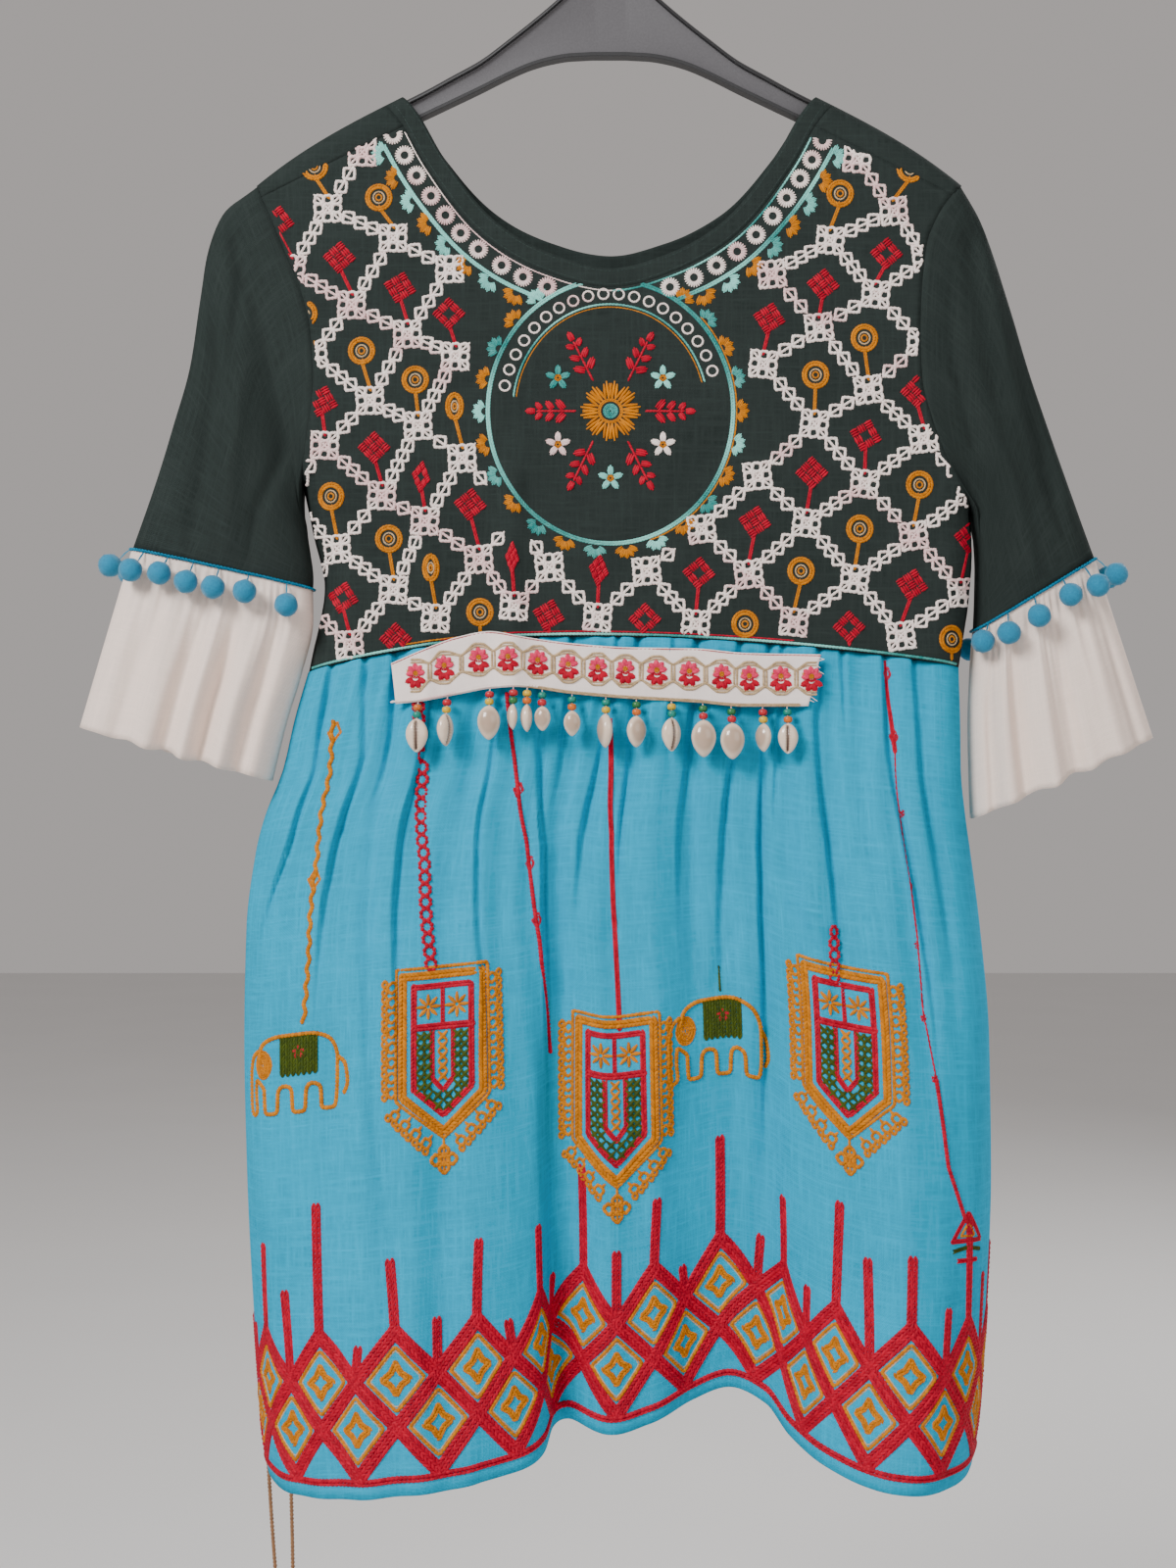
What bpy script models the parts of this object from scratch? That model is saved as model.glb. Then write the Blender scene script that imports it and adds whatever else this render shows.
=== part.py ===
"""A short-sleeved tunic on a plastic hanger: embroidered yoke, gathered skirt, frilled sleeves.

The front faces -Y and +Z is up. The origin is where a rail bears inside the hook.
Tables and sizes are in millimetres; add_mesh turns them into metres.
"""

import math

import bmesh
import bpy
import numpy as np
from mathutils.bvhtree import BVHTree

MM = 0.001
CLOTH = 1.5
SEAM_GAP = 0.3
WELD = 0.05

# The shoulder ridge, over the arms of the hanger
NECK_HALF = 132.0
RIDGE_TOP = -145.3
RIDGE_SLOPE = 0.5
RIDGE_DROOP = 1.35e-5
RIDGE_COSINE = 0.87
RIDGE_ROUND = 13.0
SIDE_ROUND = 24.0

# Half depths of the bodice, front and back, at the shoulder and at the waist
DEPTH = {"front": (15.0, 22.0), "back": (13.0, 18.0)}
BACK_NECK_SHARE = 0.856
BAND_WIDTH = 12.0

# Front view outlines, columns x and z
NECK_HALF_CURVE = [(132, -145.3), (120, -160.5), (104, -188), (71, -228.5), (36, -249), (0, -258)]
ARMHOLE = {
    "left": [(-224, -201.8), (-213, -226), (-203, -250), (-194, -272), (-187.5, -300),
             (-186, -327), (-188.5, -355), (-192.5, -380), (-194.3, -395.4)],
    "right": [(224, -201.8), (208, -222), (199, -245), (196, -275), (195, -302),
              (196, -327), (202, -352), (211, -376), (222, -396), (230, -410.7)],
}
SIDE_SEAM = {
    "left": [(-194.3, -395.4), (-188, -425), (-181, -458), (-184, -478), (-188, -495), (-191.5, -511.4)],
    "right": [(230, -410.7), (231, -435), (229, -465), (225.5, -490), (222.6, -508.4)],
}
WAIST_TOP = -489.5
WAIST_MIDDLE = -20.0
WAIST_DROP = {"left": (22.0, 172.0), "right": (19.0, 243.0)}
OVER_NECK = 20.0
OVER_ARMHOLE = 12.0
OVER_ROWS = (0.0, 0.087, 0.325, 0.65, 1.0)
SPLIT_NECK = 0.425
SPLIT_ARMHOLE = 0.25
STRIP_ROWS = 4
STRIP_COLUMNS = 4
ARC_COLUMNS = 10
LOWER_ARMHOLE = (0.25, 0.38, 0.51, 0.64, 0.76, 0.87, 0.945, 1.0)
SIDE_ROWS = 4

# Sleeves: the outer silhouette from the shoulder tip to the cuff, columns x and z
SLEEVE_OUTER = {
    "left": [(-224, -201.8), (-246, -219), (-256.5, -248), (-260, -275), (-266, -317),
             (-277, -357), (-289, -397), (-302, -434)],
    "right": [(224, -201.8), (236, -222), (247, -251), (256, -280), (267, -317),
              (281, -357), (295, -397), (310, -438)],
}
CUFF_INNER_Z = {"left": -459.0, "right": -484.5}
SLEEVE_STEPS = (0, 0.3, 0.44, 0.57, 0.69, 0.8, 0.9, 1)
SLEEVE_CLEAR = (2.5, 0.6)
SLEEVE_HALF_DEPTH = (17.0, 20.0)
SLEEVE_BLEND = 1.15
CUFF_FORWARD = {"left": -8.0, "right": 6.0}
SLEEVE_SQUARENESS = 2.8

# Frills on the cuffs: the hem from its outer to its inner corner, and the inner edge, columns x and z
FRILL_OUTER = {"left": (-334.5, -546.0), "right": (347.0, -552.0)}
FRILL_INNER = {
    "left": [(-187.5, -478), (-195.5, -514), (-204, -541.7), (-213.5, -580)],
    "right": [(231, -514), (230, -545), (230.5, -575), (231.5, -604)],
}
FRILL_HALF_DEPTH = 24.0
FRILL_ROWS = 3
FRILL_WAVES = 10
FRILL_WAVE = 7.5

# Skirt outline, columns z, left x and right x
SKIRT_SIDES = [(-508, -191.0, 222.6), (-541, -200.5, 223.6), (-573, -207.9, 224.0),
               (-603, -219.5, 226.9), (-625, -225.1, 230.0), (-674, -231.2, 236.2),
               (-742, -232.5, 241.7), (-828, -230.6, 242.9), (-914, -226.3, 239.5),
               (-988, -220.8, 233.7), (-1020, -216.5, 229.0)]
# Hem, columns share of the width, front half depth and height
HEM_FRONT = [(0.0, 30, -1017), (0.06, 58, -1015), (0.12, 78, -1011), (0.2, 88, -1006), (0.28, 84, -1003),
             (0.34, 70, -998), (0.385, 50, -991), (0.415, 26, -984), (0.45, 24, -979), (0.49, 38, -985),
             (0.54, 32, -980), (0.6, 16, -970), (0.65, 10, -963), (0.7, 20, -971), (0.73, 38, -985),
             (0.77, 62, -995), (0.82, 80, -1002), (0.87, 88, -1005), (0.92, 78, -1007),
             (0.97, 54, -1008), (1.0, 30, -1009)]
HEM_BACK = [(0.0, 24, -1017), (0.14, 44, -1000), (0.27, 26, -984), (0.4, 42, -970), (0.52, 30, -962),
            (0.65, 46, -955), (0.78, 26, -966), (0.9, 42, -990), (1.0, 24, -1009)]
SKIRT_ROWS = 9
LOBE_GROWTH = 1.25
FOLD_PLACE = 0.405
FOLD_SPAN = 0.09
FOLD_REACH = 9.0
# Knife pleats of the skirt's front, columns share at the waist, share at the end, length share, depth
PLEATS = [(0.045, 0.03, 0.5, 2.6), (0.1, -0.02, 0.35, 2.6), (0.15, 0.2, 0.75, 2.5), (0.26, 0.27, 0.3, 2.3),
          (0.32, 0.35, 0.45, 2.5), (0.39, 0.37, 0.4, 2.5), (0.44, 0.45, 0.35, 2.3), (0.5, 0.52, 0.5, 2.5),
          (0.56, 0.58, 0.4, 2.3), (0.63, 0.62, 0.35, 2.3), (0.685, 0.7, 0.6, 2.7), (0.735, 0.73, 0.3, 2.3),
          (0.79, 0.8, 0.5, 2.6), (0.87, 0.88, 0.45, 2.5), (0.935, 0.95, 0.6, 2.6)]
PLEAT_RUN = 0.03

# Troughs pressed into the cloth, columns pieces, side, line of (x, z), width and depth
TROUGHS = [
    ("sleeve", "front", [(-234, -240), (-222, -274), (-211, -322), (-204, -366)], 11.0, 2.8),
    ("sleeve", "front", [(228, -240), (236, -280), (246, -336)], 11.0, 3.5),
    ("body", "front", [(-60, -392), (-61, -440), (-61, -500)], 9.0, -4.5),
]

# Ribbon tacked over the waist seam, columns x, top and bottom
RIBBON = [(-136.5, -506.5, -532.0), (-118, -498.5, -530.5), (-94, -489.8, -526), (-75, -486.5, -522.5),
          (-57, -489.5, -521.5), (-24, -494.0, -525.5), (11, -496.5, -528.5), (55, -497.3, -531),
          (84, -500, -533.5), (132, -501, -533.5)]
RIBBON_COLUMNS = 20
RIBBON_OFF = 3.6
RIBBON_THICK = 1.2

# Cowrie drops below the ribbon, columns x, turn in degrees and shell length
DROPS = [(-119.5, 0, 21), (-101.5, 60, 20.3), (-75, 180, 21.5), (-60, 95, 16), (-51.2, 85, 17.2),
         (-41.8, 170, 15.4), (-23.4, 180, 16), (-2.5, 110, 21.5), (16.4, 210, 19.7), (38.5, 40, 21),
         (58.4, 180, 23.4), (76.3, 180, 22.8), (95.8, 130, 17.8), (110.7, 0, 19)]
BEAD_RADIUS = 2.8
BEAD_PITCH = 4.6
THREAD_RADIUS = 0.7
DROP_SIDES = 6

# Felt pompoms: places round each cuff, from the outer fold over the front to the inner fold and back
POMPOMS = {
    "left": [0.015, 0.075, 0.135, 0.195, 0.255, 0.325, 0.41, 0.6, 0.68, 0.76, 0.83, 0.9, 0.955],
    "right": [0.035, 0.1, 0.175, 0.27, 0.355, 0.415, 0.585, 0.665, 0.75, 0.83, 0.9, 0.965],
}
POMPOM_RADIUS = 7.6
POMPOM_DROP = 13.5
POMPOM_CLEAR = 2.4
TAPE_HEIGHT = 3.0
TAPE_THICK = 1.2

# Tie cords behind the skirt, columns x and z
TIE_RADIUS = 1.5
TIE_ROUTES = {
    "tie_cord_outer": [(-184, -519), (-196, -557), (-209, -600), (-218, -643), (-222, -692), (-222.5, -766),
                       (-223, -858), (-222.5, -951), (-222, -1012), (-219, -1074), (-217.5, -1096)],
    "tie_cord_inner": [(-178, -519), (-191, -563), (-201, -612), (-206, -662), (-208, -717), (-209, -797),
                       (-209, -889), (-208.5, -963), (-208, -1031), (-207, -1074), (-206.5, -1104)],
}
TIE_POINTS = 28
TIE_HEM = -960.0
TIE_CLEAR = 0.4

# Hanger, columns half width, top and bottom
HANGER_BODY = [(0, -62, -119.5), (10.5, -62.5, -119.5), (14, -66, -119.7), (25, -75.5, -120.3),
               (38, -87, -122.5), (50, -97, -126), (64, -108, -132), (82, -121.4, -141),
               (100, -131.4, -149.6), (116, -140.2, -157.2)]
ARM_STATIONS = (130, 147, 164, 181, 198, 214)
ARM_HEIGHT = (16.5, 11.5)
ARM_DEPTH = 4.5
WEB_HALF = 1.6
RIM = 2.6
UNDER_RIDGE = 3.0
HOOK_WIRE = 3.5
HOOK_INNER = 18.0
HOOK_POINTS = 22

# Materials, columns colour, roughness and metallic
FINISHES = {
    "green_cotton": ((0.028, 0.045, 0.04), 0.9, 0.0),
    "cream_cotton": ((0.75, 0.68, 0.6), 0.92, 0.0),
    "turquoise_cotton": ((0.04, 0.47, 0.62), 0.88, 0.0),
    "blue_felt": ((0.0, 0.22, 0.4), 0.95, 0.0),
    "ribbon": ((0.78, 0.66, 0.6), 0.6, 0.0),
    "cowrie": ((0.75, 0.6, 0.46), 0.3, 0.0),
    "black_plastic": ((0.02, 0.02, 0.022), 0.45, 0.0),
    "tie_cord": ((0.16, 0.06, 0.02), 0.7, 0.0),
}


def smooth(table, x, column=1):
    """A smooth curve through a table sorted by its first column, without overshoot."""
    xs = np.array([row[0] for row in table], float)
    ys = np.array([row[column] for row in table], float)
    steps = np.diff(xs)
    slopes = np.diff(ys) / steps
    tangents = np.zeros(len(xs))
    tangents[0], tangents[-1] = slopes[0], slopes[-1]
    for i in range(1, len(xs) - 1):
        if slopes[i - 1] * slopes[i] > 0:
            tangents[i] = 2 * slopes[i - 1] * slopes[i] / (slopes[i - 1] + slopes[i])
    x = np.clip(np.asarray(x, float), xs[0], xs[-1])
    i = np.clip(np.searchsorted(xs, x) - 1, 0, len(xs) - 2)
    t = (x - xs[i]) / steps[i]
    start = (1 + 2 * t) * (1 - t) ** 2 * ys[i] + t * (1 - t) ** 2 * steps[i] * tangents[i]
    return start + t * t * (3 - 2 * t) * ys[i + 1] + t * t * (t - 1) * steps[i] * tangents[i + 1]


def along(points, shares):
    """Points at the given shares of a smooth line through the given points."""
    points = np.array(points, float)
    lengths = np.concatenate([[0], np.cumsum(np.linalg.norm(np.diff(points, axis=0), axis=1))])
    table = np.column_stack([lengths, points])
    at = np.asarray(shares, float) * lengths[-1]
    return np.column_stack([smooth(table, at, k + 1) for k in range(points.shape[1])])


def length_of(points):
    return float(np.linalg.norm(np.diff(np.array(points, float), axis=0), axis=1).sum())


def unit(vectors):
    return vectors / np.linalg.norm(vectors, axis=-1, keepdims=True)


def ease(t):
    t = np.clip(t, 0, 1)
    return t * t * (3 - 2 * t)


def rounded(distance, radius):
    """Share of the full depth at a distance from a folded edge."""
    t = np.clip(distance / radius, 0, 1)
    return np.sqrt(1 - (1 - t) ** 2)


def ridge(x):
    """Height of the shoulder ridge."""
    out = np.abs(x) - NECK_HALF
    return RIDGE_TOP - RIDGE_SLOPE * out - RIDGE_DROOP * out**3


def waist(x):
    """Height of the waist seam, which bows up in the middle."""
    x = np.asarray(x, float)
    out = x - WAIST_MIDDLE
    drop, half = [np.where(out < 0, WAIST_DROP["left"][k], WAIST_DROP["right"][k]) for k in (0, 1)]
    return WAIST_TOP - drop * (out / half) ** 2


def distance_to(line, x, z):
    """Distance in the front view from points to a line of short straight runs."""
    best = np.full(np.shape(x), 1e9)
    for (x0, z0), (x1, z1) in zip(line[:-1], line[1:]):
        dx, dz = x1 - x0, z1 - z0
        t = np.clip(((x - x0) * dx + (z - z0) * dz) / (dx * dx + dz * dz), 0, 1)
        best = np.minimum(best, np.hypot(x - x0 - t * dx, z - z0 - t * dz))
    return best


def troughs(piece, side, x, z):
    """How far the creases press the cloth in."""
    total = np.zeros(np.shape(x))
    for name, where, line, width, depth in TROUGHS:
        if (name, where) == (piece, side):
            total = total + depth * np.exp(-((distance_to(line, x, z) / width) ** 2))
    return total


def side_line(hand):
    """The side seam from the underarm to the waist, in short runs."""
    line = along(SIDE_SEAM[hand], np.linspace(0, 1, 4 * SIDE_ROWS + 1))
    line[-1, 1] = waist(line[-1, 0])
    return line


def body_depth(side, x, z):
    """Half depth of the bodice at a point of the front view."""
    top, bottom = DEPTH[side]
    base = top + (bottom - top) * ease((RIDGE_TOP - z) / 220)
    fold = np.minimum(distance_to(side_line("left"), x, z), distance_to(side_line("right"), x, z))
    share = rounded((ridge(x) - z) * RIDGE_COSINE, RIDGE_ROUND) * rounded(fold, SIDE_ROUND)
    return (base - troughs("body", side, x, z)) * share


def body_points(side, flat):
    """Lifts front view points onto the bodice's front or back."""
    x, z = flat[..., 0], flat[..., 1]
    sign = -1 if side == "front" else 1
    return np.stack([x, sign * body_depth(side, x, z), z], axis=-1)


def coons(bottom, top, left, right):
    """A grid of front view points between four edges; left and right run upwards."""
    u = np.linspace(0, 1, len(bottom))[None, :, None]
    v = np.linspace(0, 1, len(left))[:, None, None]
    corners = (1 - u) * (1 - v) * bottom[0] + u * (1 - v) * bottom[-1]
    corners = corners + (1 - u) * v * top[0] + u * v * top[-1]
    ruled = (1 - v) * bottom[None] + v * top[None] + (1 - u) * left[:, None] + u * right[:, None]
    return ruled - corners


def neck_shares():
    """Shares of the half neck curve at the rows of the strips and the columns of the arc."""
    over = [row * OVER_NECK / length_of(NECK_HALF_CURVE) for row in OVER_ROWS]
    strip = np.linspace(over[-1], SPLIT_NECK, STRIP_ROWS + 1)[1:]
    arc = np.linspace(SPLIT_NECK, 1, ARC_COLUMNS // 2 + 1)[1:]
    return np.concatenate([over, strip, arc])


def armhole_shares(hand):
    over = [row * OVER_ARMHOLE / length_of(ARMHOLE[hand]) for row in OVER_ROWS]
    strip = np.linspace(over[-1], SPLIT_ARMHOLE, STRIP_ROWS + 1)[1:]
    return np.concatenate([over, strip, LOWER_ARMHOLE[1:]])


def neck_curves(side, hand):
    """The neck's edge and the band's outer edge, from the ridge to the bottom of the neck."""
    curve = np.array(NECK_HALF_CURVE, float)
    if side == "back":
        curve[:, 1] = RIDGE_TOP + (curve[:, 1] - RIDGE_TOP) * BACK_NECK_SHARE
    inner = along(curve, neck_shares())
    tangent = np.gradient(inner, axis=0)
    tangent[-1] = (-1, 0)
    normal = np.column_stack([-tangent[:, 1], tangent[:, 0]])
    normal /= np.linalg.norm(normal, axis=1)[:, None]
    slope = np.array([1, -RIDGE_SLOPE]) / math.hypot(1, RIDGE_SLOPE)
    mix = ease(np.arange(len(inner)) / len(OVER_ROWS))[:, None]
    normal = (1 - mix) * slope + mix * normal
    normal /= np.linalg.norm(normal, axis=1)[:, None]
    outer = inner + BAND_WIDTH * normal
    outer[0, 1] = ridge(outer[0, 0])
    if hand == "left":
        inner, outer = inner * (-1, 1), outer * (-1, 1)
    return inner, outer


def body_grids(side):
    """Grids of one side of the bodice: the lower block, the shoulder strips and the neck band."""
    over = len(OVER_ROWS) - 1
    split = over + STRIP_ROWS
    grids = {}
    edges = {}
    for hand in ("left", "right"):
        inner, outer = neck_curves(side, hand)
        arm = along(ARMHOLE[hand], armhole_shares(hand))
        side_seam = side_line(hand)[::4]
        edges[hand] = (outer, np.concatenate([arm[split:], side_seam[1:]]))
        share = np.linspace(0, 1, STRIP_COLUMNS + 1)[:, None]
        top_x = (arm[0] * (1 - share) + outer[0] * share)[:, 0]
        top = np.column_stack([top_x, ridge(top_x)])
        seam = arm[over] * (1 - share) + outer[over] * share
        low = arm[split] * (1 - share) + outer[split] * share
        grids["over_" + hand] = coons(seam, top, arm[over::-1], outer[over::-1])
        grids["strip_" + hand] = coons(low, seam, arm[split : over - 1 : -1], outer[split : over - 1 : -1])
        edges[hand] += (low,)
        middle = (inner + outer) / 2
        middle[0, 1] = ridge(middle[0, 0])
        grids["band_" + hand] = np.stack([inner, middle, outer])
    left_arc, right_arc = edges["left"][0][split:], edges["right"][0][split:][::-1]
    top = np.concatenate([edges["left"][2], left_arc[1:], right_arc[1:], edges["right"][2][::-1][1:]])
    left, right = edges["left"][1][::-1], edges["right"][1][::-1]
    x = np.linspace(left[0, 0], right[0, 0], len(top))
    bottom = np.column_stack([x, waist(x)])
    grids["block"] = coons(bottom, top, left, right)
    return {name: body_points(side, grid) for name, grid in grids.items()}


def sleeve_grid(hand):
    """Rings from the armhole to the cuff; each runs over the front and comes back over the back."""
    shares = armhole_shares(hand)
    arm = along(ARMHOLE[hand], shares)
    sign = -1 if hand == "left" else 1
    outer = np.array(SLEEVE_OUTER[hand], float)
    rings = len(outer)
    top_z = SIDE_SEAM[hand][0][1]
    inner_z = top_z + (CUFF_INNER_Z[hand] - top_z) * np.array(SLEEVE_STEPS)
    edge = sorted((z, x * sign) for x, z in ARMHOLE[hand] + SIDE_SEAM[hand][1:])
    clear = SLEEVE_CLEAR[0] + SLEEVE_CLEAR[1] * np.arange(rings)
    inner = np.column_stack([sign * (smooth(edge, inner_z) + clear), inner_z])
    straight = arm[0] + (arm[-1] - arm[0]) * shares[:, None]
    rows = []
    for r in range(rings):
        if r == 0:
            flat = arm
        else:
            keep = max(1 - r / 3, 0) ** 2
            flat = outer[r] + (inner[r] - outer[r]) * shares[:, None] + keep * (arm - straight)
            nearest = smooth(edge, flat[:, 1]) + clear[r]
            flat[:, 0] = sign * np.maximum(sign * flat[:, 0], nearest)
        share = min(r / SLEEVE_BLEND, 1)
        down = r / (rings - 1)
        half = SLEEVE_HALF_DEPTH[0] + (SLEEVE_HALF_DEPTH[1] - SLEEVE_HALF_DEPTH[0]) * down
        own = half * (1 - np.abs(2 * shares - 1) ** SLEEVE_SQUARENESS) ** (1 / SLEEVE_SQUARENESS)
        middle = CUFF_FORWARD[hand] * ease(down)
        ring = {}
        for side in ("front", "back"):
            depth = (1 - share) * body_depth(side, arm[:, 0], arm[:, 1]) + share * own
            if 0 < r < rings - 1:
                pressed = troughs("sleeve", side, flat[:, 0], flat[:, 1])
                depth = np.maximum(depth - pressed, 0.25 * depth)
            y = middle + (-depth if side == "front" else depth)
            ring[side] = np.column_stack([flat[:, 0], y, flat[:, 1]])
        rows.append(np.concatenate([ring["front"], ring["back"][-2:0:-1]]))
    return np.array(rows)


def frill_grid(hand, cuff):
    """Rings of the frill, twice as many points round as the cuff, waving more towards the hem."""
    count = 2 * len(cuff)
    half = len(cuff) // 2
    shares = np.repeat(armhole_shares(hand), 2)[:-1]
    shares[1::2] = (shares[0:-2:2] + shares[2::2]) / 2
    round_share = np.concatenate([shares, shares[-2:0:-1]])
    outer_top, inner_top = cuff[0, [0, 2]], cuff[half, [0, 2]]
    outer_low, inner_low = np.array(FRILL_OUTER[hand]), np.array(FRILL_INNER[hand][-1])
    inner_line = [tuple(inner_top)] + [p for p in FRILL_INNER[hand] if p[1] < inner_top[1] - 5]
    middle = CUFF_FORWARD[hand]
    front = np.where(np.arange(count) <= count / 2, -1.0, 1.0)
    place = np.where(front < 0, round_share / 2, 1 - round_share / 2)
    wave = np.cos(2 * math.pi * FRILL_WAVES * place + 0.6) * np.sin(2 * math.pi * place) ** 2
    own = (1 - np.abs(2 * round_share - 1) ** SLEEVE_SQUARENESS) ** (1 / SLEEVE_SQUARENESS)
    rows = [doubled(cuff)]
    for r in range(1, FRILL_ROWS + 1):
        t = r / FRILL_ROWS
        outer = outer_top + (outer_low - outer_top) * t
        inner = along(inner_line, [t])[0]
        x = outer[0] + (inner[0] - outer[0]) * round_share
        z = outer[1] + (inner[1] - outer[1]) * round_share
        half_depth = SLEEVE_HALF_DEPTH[1] + (FRILL_HALF_DEPTH - SLEEVE_HALF_DEPTH[1]) * t
        y = middle + front * (half_depth * own + FRILL_WAVE * t**1.2 * wave)
        z = z - 5 * t * wave
        rows.append(np.column_stack([x, y, z]))
    return np.array(rows)


def skirt_shares(columns):
    """Shares of the skirt's width, closer together at the folded sides."""
    s = np.linspace(0, 1, columns + 1)
    return s - 0.1 * np.sin(2 * math.pi * s)


def pleating(share, down):
    """Height of the knife pleats above the cloth between them."""
    total = np.zeros(np.broadcast(share, down).shape)
    for top, end, length, depth in PLEATS:
        line = top + (end - top) * np.minimum(down / length, 1)
        left_of = (line - share) / PLEAT_RUN
        rise = ease(left_of * 6 + 0.5) * np.exp(-np.maximum(left_of, 0))
        total = np.maximum(total, depth * rise * (1 - ease(down / length)))
    return total


def skirt_grid(side, columns, rows):
    """Rows of points from the waist seam to the hem of the skirt's front or back."""
    hem = HEM_FRONT if side == "front" else HEM_BACK
    sides = sorted(SKIRT_SIDES)
    share = skirt_shares(columns)
    edge_x = [smooth(sides, waist(x), k) for x, k in ((-191.0, 1), (222.6, 2))]
    top_z = waist(edge_x[0] + (edge_x[1] - edge_x[0]) * share)
    hem_z = smooth(hem, share, 2)
    hem_depth = smooth(hem, share, 1)
    waist_depth = DEPTH[side][1]
    grid = []
    for r in range(rows + 1):
        down = r / rows
        z = top_z + (hem_z - top_z) * down
        left, right = smooth(sides, z, 1), smooth(sides, z, 2)
        x = left + (right - left) * share
        growth = down**LOBE_GROWTH
        depth = waist_depth + (hem_depth - waist_depth) * growth
        if side == "front":
            depth = depth + pleating(share, down)
            turn = (share - FOLD_PLACE) / FOLD_SPAN
            bend = np.where(np.abs(turn) < 1, np.sin(math.pi * turn), 0.0)
            x = x - FOLD_REACH * growth * bend
        fold = np.minimum(share, 1 - share) * (right - left)
        y = depth * rounded(fold, SIDE_ROUND)
        grid.append(np.column_stack([x, -y if side == "front" else y, z]))
    return np.array(grid)


class Skin:
    """Welded grids of points, cut into pieces that share their seam lines and their normals."""

    def __init__(self):
        self.points = []
        self.normals = []
        self.pieces = {}

    def index(self, point):
        """Number of the welded point at this place, added if it is new."""
        if self.points:
            far = np.abs(np.array(self.points) - point).max(axis=1)
            nearest = int(far.argmin())
            if far[nearest] < WELD:
                return nearest
        self.points.append(np.array(point, float))
        self.normals.append(np.zeros(3))
        return len(self.points) - 1

    def add(self, name, grid, closed=False):
        """Adds a grid's faces to a piece, turned so that they face away from the middle plane."""
        rows, columns = grid.shape[:2]
        ids = [[self.index(grid[i, j]) for j in range(columns)] for i in range(rows)]
        faces = []
        for i in range(rows - 1):
            for j in range(columns if closed else columns - 1):
                k = (j + 1) % columns
                face = [ids[i][j], ids[i][k], ids[i + 1][k], ids[i + 1][j]]
                faces.append([f for n, f in enumerate(face) if f != face[n - 1]])
        middle = float(grid[:, :, 1].mean()) if closed else 0.0
        outward = sum(self.face_normal(f)[1] * (self.face_centre(f)[1] - middle) for f in faces)
        if outward < 0:
            faces = [f[::-1] for f in faces]
        for face in faces:
            for f in face:
                self.normals[f] = self.normals[f] + self.face_normal(face)
        self.pieces.setdefault(name, []).extend(faces)

    def face_normal(self, face):
        p = [self.points[f] for f in face]
        if len(p) == 3:
            return np.cross(p[1] - p[0], p[2] - p[0])
        return np.cross(p[2] - p[0], p[3] - p[1])

    def face_centre(self, face):
        return sum(self.points[f] for f in face) / len(face)

    def halves(self, face):
        """A face's triangles, split the same way on both sides of the cloth."""
        if len(face) == 3:
            return [face]
        p = [self.points[f] for f in face]
        if np.linalg.norm(p[0] - p[2]) <= np.linalg.norm(p[1] - p[3]):
            return [[face[0], face[1], face[2]], [face[0], face[2], face[3]]]
        return [[face[0], face[1], face[3]], [face[1], face[2], face[3]]]

    def set_normal(self, point, direction):
        self.normals[self.index(point)] = np.array(direction, float) * 1e6

    def level(self, ring, axis=(0, 0, 1)):
        """Turns the normals of a ring of points square to an axis, so that its end face is flat."""
        axis = np.array(axis, float) / np.linalg.norm(axis)
        for point in ring:
            i = self.index(point)
            self.normals[i] = self.normals[i] - axis * (self.normals[i] @ axis)

    def wall(self, name, gap=SEAM_GAP / 2, thick=CLOTH, grow=0.0):
        """A closed wall from a piece: its seam edges are drawn in by the gap, its inside by the cloth."""
        faces = self.pieces[name]
        used = sorted({f for face in faces for f in face})
        place = {f: n for n, f in enumerate(used)}
        points = np.array([self.points[f] for f in used])
        normals = np.array([self.normals[f] for f in used])
        normals /= np.linalg.norm(normals, axis=1)[:, None]
        edges = {}
        for face in faces:
            for a, b in zip(face, face[1:] + face[:1]):
                edges[(a, b)] = face
        rim = [(a, b) for (a, b) in edges if (b, a) not in edges]
        draws = {}
        for a, b in rim:
            run = self.points[b] - self.points[a]
            inward = np.cross(self.face_normal(edges[(a, b)]), run)
            for end in (a, b):
                normal = normals[place[end]]
                draws.setdefault(end, []).append(unit(inward - normal * (inward @ normal)))
        outer = points + grow * normals
        for end, pair in draws.items():
            both = sum(pair)
            if len(pair) == 2:
                both = both / (1 + max(pair[0] @ pair[1], -0.5))
            outer[place[end]] += gap * both
        inner = outer - thick * normals
        count = len(used)
        corners = [[place[f] for f in half] for face in faces for half in self.halves(face)]
        mesh_faces = corners + [[f + count for f in reversed(half)] for half in corners]
        for a, b in rim:
            quad = [place[b], place[a], place[a] + count, place[b] + count]
            if a < b:
                quad = quad[1:] + quad[:1]
            mesh_faces += [[quad[0], quad[1], quad[2]], [quad[0], quad[2], quad[3]]]
        return np.concatenate([outer, inner]), mesh_faces


def finish(name):
    """The material with this name, made once."""
    material = bpy.data.materials.get(name)
    if material is None:
        colour, roughness, metallic = FINISHES[name]
        material = bpy.data.materials.new(name)
        material.use_nodes = True
        shader = material.node_tree.nodes["Principled BSDF"]
        shader.inputs["Base Color"].default_value = (*colour, 1)
        shader.inputs["Roughness"].default_value = roughness
        shader.inputs["Metallic"].default_value = metallic
    return material


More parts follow.
